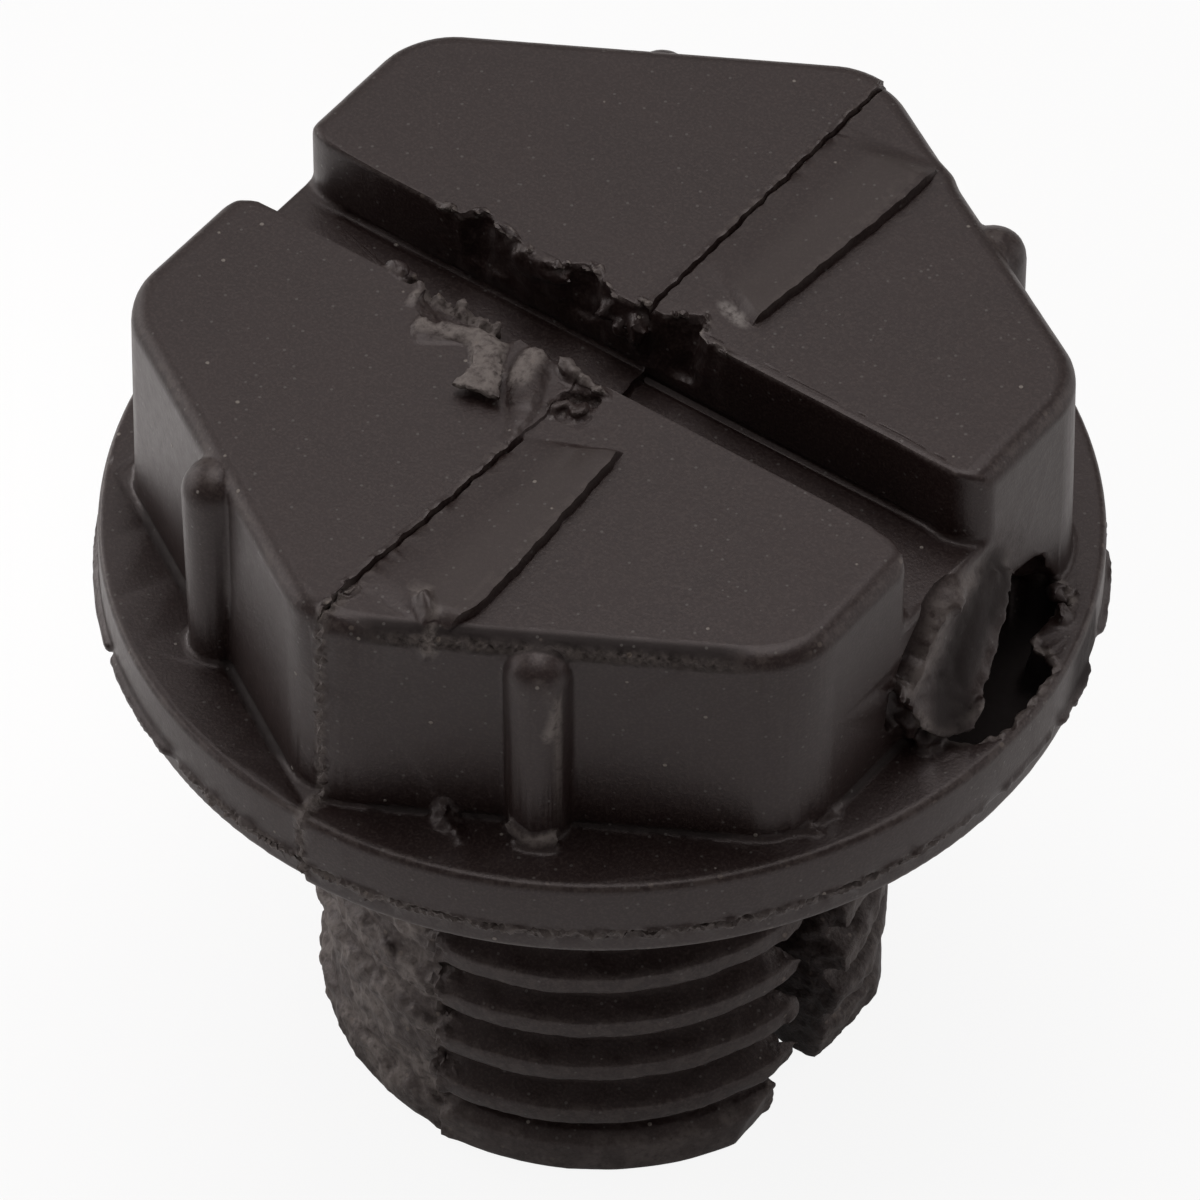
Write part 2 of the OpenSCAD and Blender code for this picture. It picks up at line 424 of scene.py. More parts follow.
def model_stem():
    core = cylinder("core", ROOT_R, -STEM_LEN, 0.1)
    collar = cylinder("collar", THREAD_R - 0.1, -STEM_LEN, -STEM_LEN + COLLAR_H)
    round_edges(collar, at_height(-STEM_LEN), 0.2, 3)
    round_edges(collar, at_height(-STEM_LEN + COLLAR_H), 0.3, 1)
    worn = cylinder("worn", WORN_R, -STEM_LEN + COLLAR_H / 2, -NECK_H - 0.3)
    choose(worn, "FACE", lambda c, n: True)
    bpy.ops.mesh.bisect(plane_co=(0.1, 0, 0), plane_no=(1, 0, 0), clear_outer=True, use_fill=True)
    leave()
    parts = [core, collar, worn]
    for side, count, offset in ((1, RIDGES, 0.0), (-1, RIDGES - 1, 0.5)):
        ridge = model_ridge("ridge", side)
        for i in range(count):
            copy = twin(ridge, "ridge_%d" % i)
            turned(copy, tilt=side * LEAD_TILT, lift=FIRST_RIDGE_Z + (i + offset) * PITCH)
            parts.append(copy)
        bpy.data.objects.remove(ridge)
    low = (THREAD_R - NOTCH_D, NOTCH_Y - NOTCH_W / 2, -STEM_LEN - 1)
    high = (THREAD_R + 2, NOTCH_Y + NOTCH_W / 2, 0)
    for part in parts:
        cut(part, block("notch", low, high), "MANIFOLD")
        cut(part, end_flat_tool(), "MANIFOLD")
    return parts


# Torn places


def lump(name, at, size, rough=0.0, grain=1.0, turn=0.0, tilt=0.0, seed=0.0, detail=5, stretch=0.0):
    """A rough blob with the given radii, drawn out along its own Y by the stretch at both ends."""
    bpy.ops.mesh.primitive_ico_sphere_add(subdivisions=detail, radius=1)
    piece = placed(name)
    for v in piece.data.vertices:
        p = Vector((v.co.x * size[0], v.co.y * size[1], v.co.z * size[2]))
        push = rough * noise.fractal(p * grain + Vector((seed, seed * 1.7, -seed)), 1.0, 2.0, 3)
        drawn = Vector((0, max(-1.0, min(1.0, v.co.y * 1.6)) * stretch, 0))
        v.co = p + v.co * push + drawn
    tilted = Matrix.Rotation(math.radians(tilt), 4, "X")
    return moved(piece, Matrix.Translation(at) @ Matrix.Rotation(math.radians(turn), 4, "Z") @ tilted)


def lumps(name, table, seed):
    """A lump for each row: its place, its radii, and how rough and how fine its skin is."""
    parts = []
    for i, (at, size, rough, grain) in enumerate(table):
        parts.append(lump(name, at, size, rough, grain, seed=seed + i, detail=4))
    return parts


def sheet(name, rows, thick, rough=0.0, seed=0.0):
    """A torn flake: a grid through rows of points, made smooth and given its thickness."""
    bpy.ops.mesh.primitive_grid_add(x_subdivisions=len(rows[0]) - 1, y_subdivisions=len(rows) - 1, size=2)
    piece = placed(name)
    points = [p for row in rows for p in row]
    for v, p in zip(piece.data.vertices, points):
        v.co = p
    modify(piece, "SUBSURF", levels=3, render_levels=3, boundary_smooth="PRESERVE_CORNERS")
    for v in piece.data.vertices:
        v.co += rough * noise.noise_vector(v.co * 4.0 + Vector((seed, 0, seed)))
    modify(piece, "SOLIDIFY", thickness=thick, offset=0)
    return piece


def ribbon(name, path, wide, lift, sink, thick, rough, seed):
    """A curled strip along a path of points, arched across its width."""
    up = Vector((0, 0, lift))
    down = Vector((0, 0, -sink))
    rows = []
    for i, point in enumerate(path):
        before = Vector(path[max(i - 1, 0)])
        after = Vector(path[min(i + 1, len(path) - 1)])
        along = (after - before).normalized()
        aside = Vector((-along.y, along.x, 0)) * wide[i] / 2
        middle = Vector(point)
        inner = aside * 0.6
        raised = up * 0.7
        left = [middle + aside + down, middle + inner + raised]
        rows.append(left + [middle + up, middle - inner + raised, middle - aside + down])
    return sheet(name, rows, thick, rough=rough, seed=seed)


T = TOP_Z
F = FLANGE_H

# Bites in the slot's far edge, from above, and how deep each goes
FAR_BITES = [
    [
        (-5.4, 0.6), (-5.3, 1.14), (-5.05, 1.22), (-4.84, 1.16), (-4.66, 1.36), (-4.41, 1.54), (-4.15, 1.54),
        (-3.95, 1.42), (-3.65, 1.38), (-3.40, 1.29), (-3.17, 1.24), (-2.9, 1.17), (-2.8, 0.6),
    ],
    [
        (-2.3, 0.6), (-2.10, 1.20), (-1.85, 1.34), (-1.62, 1.54), (-1.30, 1.60), (-1.14, 1.45),
        (-0.98, 1.32), (-0.75, 1.28), (-0.50, 1.20), (-0.3, 0.6),
    ],
    [
        (-0.1, 0.6), (0.07, 1.36), (0.40, 1.26), (0.77, 1.36), (1.05, 1.58), (1.43, 1.82), (1.62, 1.68),
        (1.74, 1.36), (2.03, 1.20), (2.49, 1.20), (2.6, 0.6),
    ],
]
FAR_DEPTHS = (1.3, 1.2, 1.6)

# Tears in its near edge
NEAR_TEARS = [
    [
        (-4.80, -0.6), (-4.66, -1.22), (-4.35, -1.24), (-4.05, -1.30), (-3.88, -1.60), (-3.50, -1.98),
        (-3.28, -2.06), (-2.86, -1.78), (-2.37, -1.54), (-1.95, -1.58), (-1.62, -1.58), (-1.42, -1.34),
        (-1.30, -0.6),
    ],
    [
        (-1.2, -0.6), (-1.05, -1.28), (-0.6, -1.34), (-0.2, -1.26), (0.2, -1.32), (0.6, -1.28),
        (0.95, -1.22), (1.1, -0.6),
    ],
]
NEAR_DEPTHS = (0.42, 0.30)


def bite(head, outline, deep, seed):
    """Breaks a piece out of the slot's edge, less far below than at the top."""
    wall = math.copysign(SLOT_W / 2, outline[1][1])
    middle = (outline[0][0] + outline[-1][0]) / 2
    plan = ragged(outline, 0.10, 0.045, seed)
    low = [(middle + (x - middle) * 0.8, wall + (y - wall) * 0.3) for x, y in plan]
    steps = [
        (deep * 0.45, (middle, wall), (1.1, 1.8)),
        (deep * 0.30, (middle, wall), (1.1, 1.5)),
        (deep * 0.25, (middle, wall), (1.03, 1.23)),
        (1.0, (middle, wall), (1, 1)),
    ]
    cut(head, prism("bite", low, TOP_Z - deep, steps))


# Outline of the hollow that the broken gate left in the flange, from above
CRATER = [
    (8.3, 4.1), (9.1, 4.28), (9.6, 4.25), (10.0, 4.09), (10.13, 3.81), (10.1, 3.5), (9.67, 3.27),
    (9.86, 2.74), (10.2, 2.32), (10.56, 2.36), (10.85, 2.15), (10.95, 1.7), (11.02, 1.2), (11.06, 0.7),
    (11.08, 0.15), (11.06, -0.3), (10.85, -0.6), (10.5, -1.02), (9.95, -1.05), (9.4, -0.6), (8.9, 0.6),
    (8.4, 2.0),
]
CRATER_CENTRE = (10.0, 1.6)
CRATER_DEPTH = 1.35
CRATER_RIM = [(x, y, FLANGE_H) for x, y in CRATER]


def crater_tool():
    """The hollow's cutter, narrower and rounder towards its bottom."""
    plan = ragged(CRATER, 0.12, 0.09, 6.0)
    cx, cy = CRATER_CENTRE
    low = [(cx + (x - cx) * 0.36, cy + (y - cy) * 0.42) for x, y in plan]
    rises = [
        (0.10, (1.7, 1.6)), (0.25, (1.28, 1.22)), (0.35, (1.13, 1.10)), (0.35, (1.08, 1.07)),
        (0.3, (1.03, 1.03)), (0.3, (1, 1)),
    ]
    steps = [(height, CRATER_CENTRE, growth) for height, growth in rises]
    return prism("crater", low, FLANGE_H - CRATER_DEPTH, steps)


def flank(x, y, z):
    """A point given from the flange's top."""
    return (x, y, z + FLANGE_H)


def model_gate():
    """The curled tongue of plastic that leans on the flat, its hollow side, and its curled lower lip."""
    tongue = lump(
        "tongue", flank(FLAT_R - 0.06, 0.18, 1.25), (0.72, 0.78, 0.74), rough=0.08, grain=1.3, turn=15,
        tilt=47, seed=5, stretch=1.15,
    )
    rows = [
        [(9.42, 0.43, 3.28), (9.52, 1.35, 2.84), (9.52, 2.28, 2.22)],
        [(9.55, -0.42, 3.18), (9.58, 0.50, 2.50), (9.86, 1.60, 1.89)],
        [(9.62, -1.01, 2.50), (9.66, -0.02, 1.70), (10.08, 1.01, 1.14)],
        [(9.72, -1.95, 2.12), (9.78, -0.70, 1.06), (10.30, 0.29, 0.75)],
        [(9.88, -1.94, 1.42), (10.05, -0.98, 0.64), (10.44, -0.24, 0.60)],
        [(10.08, -1.62, 0.62), (10.30, -1.10, 0.30), (10.56, -0.45, 0.50)],
    ]
    face = sheet("face", [[flank(*p) for p in row] for row in rows], 0.20, rough=0.10, seed=2.0)
    rolled = [
        (9.74, -1.98, 1.98), (9.90, -1.96, 1.36), (10.12, -1.62, 0.58), (10.38, -1.08, 0.34),
        (10.62, -0.46, 0.52), (10.50, -0.16, 0.74),
    ]
    wide = [0.16, 0.26, 0.30, 0.30, 0.26, 0.12]
    lip = ribbon("lip", [flank(*p) for p in rolled], wide, 0.10, 0.06, 0.12, 0.08, 2.0)
    bits = [
        ((9.66, -2.02, 2.00), (0.12, 0.24, 0.12), 0.20, 3.6),
        ((9.95, -1.30, 0.12), (0.26, 0.30, 0.36), 0.20, 3.0),
        ((9.62, -1.45, 0.95), (0.30, 0.42, 0.72), 0.16, 2.4),
        ((9.30, -1.60, 1.95), (0.34, 0.36, 0.50), 0.10, 2.0),
        ((9.52, 0.10, 3.10), (0.16, 0.36, 0.12), 0.25, 3.6),
        ((9.55, 4.05, 0.02), (0.28, 0.16, 0.16), 0.30, 3.6),
        ((10.10, 3.52, -0.02), (0.16, 0.16, 0.16), 0.30, 3.6),
    ]
    return [tongue, face, lip] + lumps("bit", [(flank(*at), *rest) for at, *rest in bits], 31.0)


def from_top(rows):
    """Rows of points, their heights given from the head's top."""
    return [[(x, y, T + z) for x, y, z in row] for row in rows]


def model_flakes():
    """Curled flakes and lumps that were torn out of the slot's near edge."""
    flake = [
        [(-2.40, -1.62, -0.05), (-1.95, -1.52, 0.02), (-1.50, -1.45, -0.05)],
        [(-2.10, -2.05, 0.08), (-1.74, -1.92, 0.15), (-1.40, -1.82, 0.07)],
        [(-1.68, -2.45, 0.15), (-1.38, -2.32, 0.24), (-1.08, -2.20, 0.14)],
        [(-1.50, -2.92, 0.22), (-1.14, -2.80, 0.30), (-0.82, -2.66, 0.22)],
        [(-1.66, -3.42, 0.26), (-1.06, -3.36, 0.34), (-0.50, -3.14, 0.26)],
    ]
    strip = [
        [(-3.52, -2.02, -0.04), (-3.42, -2.28, 0.08), (-3.30, -2.52, -0.03)],
        [(-3.15, -1.88, -0.02), (-3.08, -2.18, 0.10), (-2.95, -2.46, -0.03)],
        [(-2.86, -1.72, -0.02), (-2.78, -1.98, 0.11), (-2.68, -2.22, -0.03)],
        [(-2.38, -1.48, -0.02), (-2.38, -1.74, 0.12), (-2.40, -1.98, -0.02)],
        [(-1.90, -1.50, -0.02), (-1.98, -1.76, 0.12), (-2.06, -2.00, 0.04)],
    ]
    curl = [
        (-0.80, -1.24, -0.02), (-0.76, -1.56, 0.06), (-0.58, -2.02, 0.06), (-0.30, -2.52, 0.03),
        (-0.04, -3.02, -0.01), (0.14, -3.50, -0.03), (0.22, -3.90, -0.05),
    ]
    curl_wide = [0.50, 0.58, 0.66, 0.62, 0.50, 0.30, 0.12]
    parts = [
        sheet("flake", from_top(flake), 0.15, rough=0.10, seed=1.0),
        sheet("strip", from_top(strip), 0.11, rough=0.08, seed=6.0),
        ribbon("curl", from_top([curl])[0], curl_wide, 0.05, 0.08, 0.14, 0.03, 4.0),
    ]
    blobs = [
        ((0.50, -2.25, -0.10), (0.20, 0.30, 0.16), 0.30, 3.0),
        ((0.92, -2.05, -0.08), (0.20, 0.34, 0.15), 0.30, 3.0),
        ((-2.55, 1.12, -0.34), (0.80, 0.13, 0.33), 0.20, 2.0),
        ((0.22, -1.44, 0.10), (0.42, 0.14, 0.16), 0.16, 4.0),
        ((0.80, -1.46, 0.05), (0.42, 0.13, 0.14), 0.16, 4.0),
        ((-0.06, -1.40, 0.16), (0.14, 0.12, 0.12), 0.20, 4.0),
        ((-3.98, -1.48, 0.00), (0.12, 0.28, 0.12), 0.16, 5.0),
        ((-4.10, -1.20, -0.02), (0.20, 0.12, 0.12), 0.16, 5.0),
        ((-4.86, -1.00, -0.25), (0.28, 0.20, 0.24), 0.30, 3.5),
        ((-3.70, -0.95, -0.80), (0.30, 0.30, 0.46), 0.40, 3.5),
        ((-3.15, -0.92, -0.85), (0.34, 0.30, 0.42), 0.45, 3.5),
        ((-2.65, -0.95, -0.80), (0.30, 0.26, 0.38), 0.35, 3.5),
        ((-4.45, -0.90, -0.90), (0.26, 0.22, 0.30), 0.30, 3.5),
        ((-2.26, -0.95, -0.55), (0.14, 0.14, 0.14), 0.25, 4.0),
        ((-0.6, -1.05, -0.9), (0.50, 0.14, 0.30), 0.30, 3.5),
        ((0.62, -0.25, -1.95), (0.22, 0.30, 0.24), 0.30, 3.5),
        ((0.10, 1.10, -0.75), (0.20, 0.16, 0.50), 0.30, 3.0),
        ((-0.75, 1.12, -0.50), (0.16, 0.12, 0.20), 0.35, 4.0),
        ((-0.45, 1.12, -0.85), (0.18, 0.10, 0.12), 0.35, 4.0),
    ]
    return parts + lumps("blob", [((x, y, T + z), *rest) for (x, y, z), *rest in blobs], 11.0)


# Small marks


def front_flat(along, up, out):
    """A point on the front flat: along it, up from the flange, and out from its surface."""
    reach = FLAT_R - up * DRAFT + out
    return (0.5 * reach + math.sqrt(0.75) * along, -math.sqrt(0.75) * reach + 0.5 * along, up + FLANGE_H)


def model_marks():
    """Small curls, chips and specks of plastic on the front edge, the front rib and the flange."""
    chip = [(1.62, -8.66, T + 0.05), (2.10, -8.96, T + 0.06)]
    chip += [front_flat(-2.62, 5.30, 0.02), front_flat(-2.74, 4.85, 0.02)]
    curl = [(-0.26, 5.00, 0.60), (0.10, 4.52, 0.62), (0.20, 4.10, 0.58), (0.0, 3.25, 0.66)]
    foot = [(-0.95, 0.34, 0.45), (-0.60, 0.10, 0.70), (-0.15, 0.05, 0.78), (0.20, 0.25, 0.66)]
    parts = [
        ribbon("chip", chip, [0.20, 0.34, 0.32, 0.14], 0.14, 0.05, 0.10, 0.08, 3.0),
        ribbon(
            "rib curl", [front_flat(*p) for p in curl], [0.12, 0.20, 0.18, 0.10], 0.11, 0.05, 0.09, 0.05, 5.0
        ),
        ribbon(
            "rib foot", [front_flat(*p) for p in foot], [0.10, 0.16, 0.16, 0.08], 0.07, 0.05, 0.10, 0.04, 7.0
        ),
    ]
    specks = [
        ((2.35, -9.36, F + 0.03), 0.16), ((2.80, -9.50, F + 0.04), 0.20), ((3.25, -9.62, F + 0.02), 0.13),
        ((9.30, -4.66, F + 0.02), 0.05), ((9.48, -5.06, F + 0.02), 0.06), ((9.42, -4.30, F + 0.02), 0.05),
    ]
    for i, (at, size) in enumerate(specks):
        radii = (size * 1.2, size, size)
        parts.append(lump("speck", at, radii, rough=0.3, grain=1 / size, seed=61.0 + i, detail=3))
    return parts


# Skin


def read(items, key, width=3, kind=float):
    """One value of all the items of a mesh, as an array."""
    flat = np.empty(len(items) * width, dtype=kind)
    items.foreach_get(key, flat)
    return flat.reshape(-1, width) if width > 1 else flat


def places(piece):
    return read(piece.data.vertices, "co")


def put_places(piece, points):
    piece.data.vertices.foreach_set("co", points.ravel())
    piece.data.update()


def weighted(piece, name, weight):
    """A vertex group with the weights, in twelve steps."""
    group = piece.vertex_groups.new(name=name)
    levels = np.round(weight * 12).astype(int)
    for level in range(1, 13):
        chosen = np.nonzero(levels == level)[0]
        if len(chosen):
            group.add(chosen.tolist(), level / 12, "REPLACE")


def modify_where(piece, weight, kind, **settings):
    """Applies a modifier as far as the weight says."""
    weighted(piece, "where", weight)
    modify(piece, kind, vertex_group="where", **settings)
    piece.vertex_groups.clear()


def roughen(piece, weight, size, strength):
    """Pushes the skin in and out with a clouded pattern where the weight says so."""
    pattern = bpy.data.textures.new("pattern", "CLOUDS")
    pattern.noise_scale = size
    pattern.noise_depth = 2
    modify_where(
        piece, weight, "DISPLACE", texture=pattern, texture_coords="LOCAL", mid_level=0.5, strength=strength
    )


def zone(points, low, high, fade):
    """1 inside a box, falling to 0 over the fade outside it."""
    low, high = np.array(low), np.array(high)
    gap = np.maximum(np.maximum(low - points, points - high), 0)
    return fall(0, fade, np.linalg.norm(gap, axis=1))


def parting(y):
    """The mould's parting line across the top."""
    bends = np.interp(y, [-9.3, -6.3, -2.9, 1.6, 5.5, 9.8], [0.08, 0.28, 0.46, 0.30, 0.31, 0.31])
    return bends + 0.018 * np.sin(y * 6.1) + 0.012 * np.sin(y * 13.7 + 1.0)


def gap_to(points, path):
    """How far each point is from a path of points."""
    path = np.array(path, dtype=float)
    points = points[:, : path.shape[1]]
    best = np.full(len(points), 99.0)
    for a, b in zip(path[:-1], path[1:]):
        along = np.clip((points - a) @ (b - a) / ((b - a) @ (b - a)), 0, 1)
        best = np.minimum(best, np.linalg.norm(points - a - along[:, None] * (b - a), axis=1))
    return best


def near(points, path, core, reach):
    """1 within the core of a path, 0 past the reach."""
    return fall(core, reach, gap_to(points, path))


def waves(points, seed, scale):
    """Smooth noise at the points, about -1 to 1, made of crossed sines."""
    rng = np.random.default_rng(seed)
    total = np.zeros(len(points))
    for _ in range(7):
        way = rng.normal(size=points.shape[1])
        way *= 2 * math.pi / scale * rng.uniform(0.6, 1.6) / np.linalg.norm(way)
        total += np.sin(points @ way + rng.uniform(0, 6.28))
    return total / 3.2


def waves_along(values, seed, scale):
    """The same, along one value."""
    return waves(np.stack([values, 0 * values], axis=1), seed, scale)


def radius_of(points):
    return np.hypot(points[:, 0], points[:, 1])


def angle_of(points):
    return np.degrees(np.arctan2(points[:, 1], points[:, 0]))


FRONT = np.array([0.5, -math.sqrt(0.75)])
ALONG_FRONT = np.array([math.sqrt(0.75), 0.5])


def front_edge(points):
    """The debris along the top edge of the front flat."""
    out = points[:, :2] @ FRONT - FLAT_TOP_R + 0.03
    beside = fall(0.05, 0.22, np.hypot(out, points[:, 2] - T + 0.36))
    return beside * plateau(-4.3, -3.2, 3.2, 4.8, points[:, :2] @ ALONG_FRONT)


def rim_band(points):
    """The torn line of flash low on the rim, from the left round to the right of the front."""
    low = fall(0.08, 0.25, np.abs(points[:, 2] - F + RIM_H))
    return low * smooth_step(11.0, 11.15, radius_of(points)) * plateau(-112, -100, -14, -4, angle_of(points))


def corner_seam(points):
    """The seam down the head's front left corner and across the flange."""
    across = fall(0.06, 0.26, np.abs(points[:, 0] - 0.20))
    return across * fall(-9.4, -9.0, points[:, 1]) * smooth_step(F - 2.2, F - 1.6, points[:, 2])


def tongue_weight(points):
    return near(points, [(9.45, 2.0, F + 2.5), (9.7, 0.5, F + 1.8), (9.9, -1.0, F + 0.6)], 0.9, 1.2)


def torn_weight(points):
    """Where the plastic is torn or broken."""
    slot_near = zone(points, (-4.9, -2.0, T - 2.1), (1.1, -0.7, T - 0.12), 0.15)
    strip = near(points, [(-3.5, -2.2, T), (-2.8, -1.95, T), (-1.9, -1.7, T + 0.05)], 0.15, 0.40)
    flake = near(points, [(-1.9, -1.7, T + 0.1), (-1.4, -2.4, T + 0.2), (-1.0, -3.2, T + 0.3)], 0.35, 0.60)
    knob = 0.5 * near(points, [(0.4, -2.0, T - 0.1), (0.9, -2.0, T - 0.1)], 0.45, 0.70)
    curl = 0.8 * near(points, [(-0.8, -1.3, T), (-0.6, -2.0, T), (-0.3, -2.6, T)], 0.30, 0.45)
    off_flat = smooth_step(0.02, 0.07, np.abs(points[:, 2] - T))
    flakes = np.maximum.reduce([strip, flake, knob, curl]) * off_flat
    crater = zone(points, (8.9, -1.3, F - 1.5), (10.9, 4.3, F - 0.25), 0.15) * 0.3
    return np.maximum.reduce([slot_near, flakes, crater, 0.3 * tongue_weight(points)])


# Paths along torn or bent plastic that has gone pale, the third also a painted highlight on the smooth curl:
# how strong, the path, its core and its reach
PALE_AND_LIT_FLAKES = [
    (1.0, [(-3.95, -1.5, T), (-3.5, -2.2, T), (-2.8, -2.0, T), (-1.9, -1.75, T + 0.1)], 0.12, 0.34),
    (1.0, [(-1.9, -1.7, T + 0.1), (-1.4, -2.4, T + 0.2), (-1.05, -3.25, T + 0.3)], 0.40, 0.60),
    (1.0, [(-0.80, -1.40, T + 0.1), (-0.70, -1.85, T + 0.12), (-0.62, -2.2, T + 0.1)], 0.12, 0.42),
    (0.7, [(-0.1, -1.38, T + 0.2), (0.3, -1.4, T + 0.2), (1.15, -1.5, T + 0.1)], 0.06, 0.24),
]
GATE_LIP = [(9.9, -1.9, F + 1.3), (10.1, -1.6, F + 0.6), (10.35, -1.1, F + 0.4), (10.6, -0.4, F + 0.6)]
PALE_GATE = [
    (0.5, [(9.5, 2.0, F + 2.4), (9.5, 1.0, F + 2.95), (9.5, 0.1, F + 3.1)], 0.15, 0.55),
    (0.55, [(9.5, -0.4, F + 3.1), (9.6, -1.0, F + 2.4), (9.7, -1.9, F + 2.0)], 0.10, 0.40),
    (0.8, GATE_LIP, 0.10, 0.24),
    (0.6, CRATER_RIM, 0.05, 0.16),
]
RIB_FOOT = [front_flat(-0.95, 0.34, 0.45), front_flat(-0.4, 0.08, 0.75), front_flat(0.2, 0.25, 0.66)]
PALE_MARKS = [
    (1.0, [front_flat(-0.26, 5.0, 0.6), front_flat(0.2, 4.2, 0.6), front_flat(0.0, 3.3, 0.66)], 0.08, 0.18),
    (1.0, RIB_FOOT, 0.08, 0.2),
    (1.0, [(1.62, -8.66, T), (2.10, -8.96, T), front_flat(-2.7, 5.1, 0)], 0.14, 0.24),
]


def strongest(points, table):
    return np.maximum.reduce([share * near(points, path, core, reach) for share, path, core, reach in table])


def bitten_edges(points, core, reach):
    """Near the far bites' outlines."""
    return np.maximum.reduce([near(points, outline[1:-1], core, reach) for outline in FAR_BITES])


def pale_and_lit_weight(points):
    """Where torn or bent plastic has gone pale, with a painted highlight on the smooth curl."""
    height = points[:, 2]
    flakes = strongest(points, PALE_AND_LIT_FLAKES) * smooth_step(T + 0.01, T + 0.06, height)
    nodules = bitten_edges(points, 0.06, 0.18) * smooth_step(T - 0.20, T - 0.06, height)
    nodules *= np.clip(2.5 * waves(points, 21, 0.28) - 0.2, 0, 1)
    shreds = 0.6 * zone(points, (-4.9, -1.1, T - 1.1), (-2.2, -0.4, T - 0.3), 0.15)
    gate, marks = strongest(points, PALE_GATE), strongest(points, PALE_MARKS)
    return np.maximum.reduce([flakes, gate, shreds, nodules, marks])


def rear_weight(points):
    """The stem's rough rear half."""
    skin = smooth_step(5.2, 5.8, radius_of(points)) * smooth_step(-STEM_LEN, -STEM_LEN + 0.4, points[:, 2])
    return fall(-0.1, 0.5, points[:, 0]) * fall(-0.7, -0.3, points[:, 2]) * skin


def notch_weight(points):
    """The ragged plastic on both sides of the drain notch."""
    side = NOTCH_W / 2 + 0.15
    beside = zone(points, (4.6, NOTCH_Y - side, -13.2), (7, NOTCH_Y + side, 0.5), 0.45)
    right = zone(points, (4.5, 0.3, -13.2), (7, 2.6, 0.5), 0.5)
    return np.maximum(beside * smooth_step(4.2, 5.0, points[:, 0]), right) * fall(-0.6, -0.2, points[:, 2])


def thread_weight(points):
    """The thread and the collar below it."""
    outer = smooth_step(5.6, 5.9, radius_of(points))
    return fall(-0.9, -0.6, points[:, 2]) * outer * smooth_step(-STEM_LEN, -STEM_LEN + 0.2, points[:, 2])


def seam_weight(points):
    """The column of small bumps where the mould's halves meet on the stem."""
    across = fall(0.15, 0.5, np.abs(points[:, 0] - 0.25))
    return across * fall(-0.5, -0.2, points[:, 2]) * smooth_step(5.4, 5.9, np.abs(points[:, 1]))


def refine(piece, test):
    """Splits the skin's faces once more where fine shapes follow."""
    only(piece)
    chosen = test(read(piece.data.polygons, "center"))
    bpy.ops.object.mode_set(mode="EDIT")
    bpy.ops.mesh.select_mode(type="FACE")
    bpy.ops.mesh.select_all(action="DESELECT")
    bpy.ops.object.mode_set(mode="OBJECT")
    piece.data.polygons.foreach_set("select", chosen)
    bpy.ops.object.mode_set(mode="EDIT")
    bpy.ops.mesh.subdivide(number_cuts=1)
    leave()


def fine_places(points):
    """Round the lines, steps and torn places, the skin needs smaller faces."""
    x, y, z = points.T
    top = z > T - 0.3
    beside_ramps = ((y > 1.7) & (y < 9.2)) | ((y > -9.4) & (y < -2.4))
    fine = top & (np.abs(x - 0.3) < 0.35)
    fine |= top & (np.abs(x - RAMP_STEP_X) < 0.35) & beside_ramps
    fine |= (torn_weight(points) > 0.4) & (z > F - 0.6)
    fine |= (tongue_weight(points) > 0.5) | (front_edge(points) > 0.2) | (rim_band(points) > 0.2)
    for outline in FAR_BITES:
        fine |= top & (gap_to(points, outline) < 0.2)
    fine |= top & (np.abs(y - LIP_LINE_Y) < 0.15) & (x > 1.8) & (x < 8.4)
    fine |= (gap_to(points, CRATER) < 0.25) & (np.abs(z - F) < 0.3)
    return fine


def nearest_column(x, place):
    """The skin's column of corners that lies nearest to a place along X."""
    columns, count = np.unique(np.round(x[np.abs(x - place) < 0.1], 4), return_counts=True)
    columns = columns[count > 0.5 * count.max()]
    return columns[np.argmin(np.abs(columns - place))]


def slit_height(x, y, line, half):
    """The slit along the parting line and its lifted edge; torn flakes cover it beside the slot."""
    ragged_line = 0.5 + 0.5 * waves_along(y, 3, 0.9)
    slit = (x > line + half) & (x < line + 3 * half)
    wide = (x > line + 3 * half) & (x < line + 5 * half) & (ragged_line > 0.45)
    lifted = np.exp(-(((x - line + 2 * half) / 0.06) ** 2)) * (x < line + half)
    height = -np.where(slit, SLIT_DEPTH * (0.55 + 0.45 * ragged_line), 0)
    height -= np.where(wide, SLIT_DEPTH * (ragged_line - 0.35), 0)
    height += lifted * 0.035 * (0.3 + 0.7 * (waves(np.stack([y, y], axis=1), 5, 0.5) > 0.35))
    return height * (1 - plateau(-3.75, -3.45, -1.1, -0.9, y))


def ramp_height(x, y, line, step, name):
    """A ramp's rise from the parting line to its step, between its two ends."""
    rise = np.clip((x - line) / (step - line), 0, 1)
    rise = 0.35 * rise * rise * (3 - 2 * rise) + 0.65 * rise
    if name == "far":
        ends = smooth_step(0, 0.38, y - 3.05 + 0.88 * rise) * fall(8.15, 8.95, y + 0.25 * (1 - rise))
    else:
        ends = smooth_step(-9.3, -8.6, y) * fall(0, 0.30, y + 3.75 - 0.85 * rise)
    return (STEP_H + RAMP_H) * rise * ends


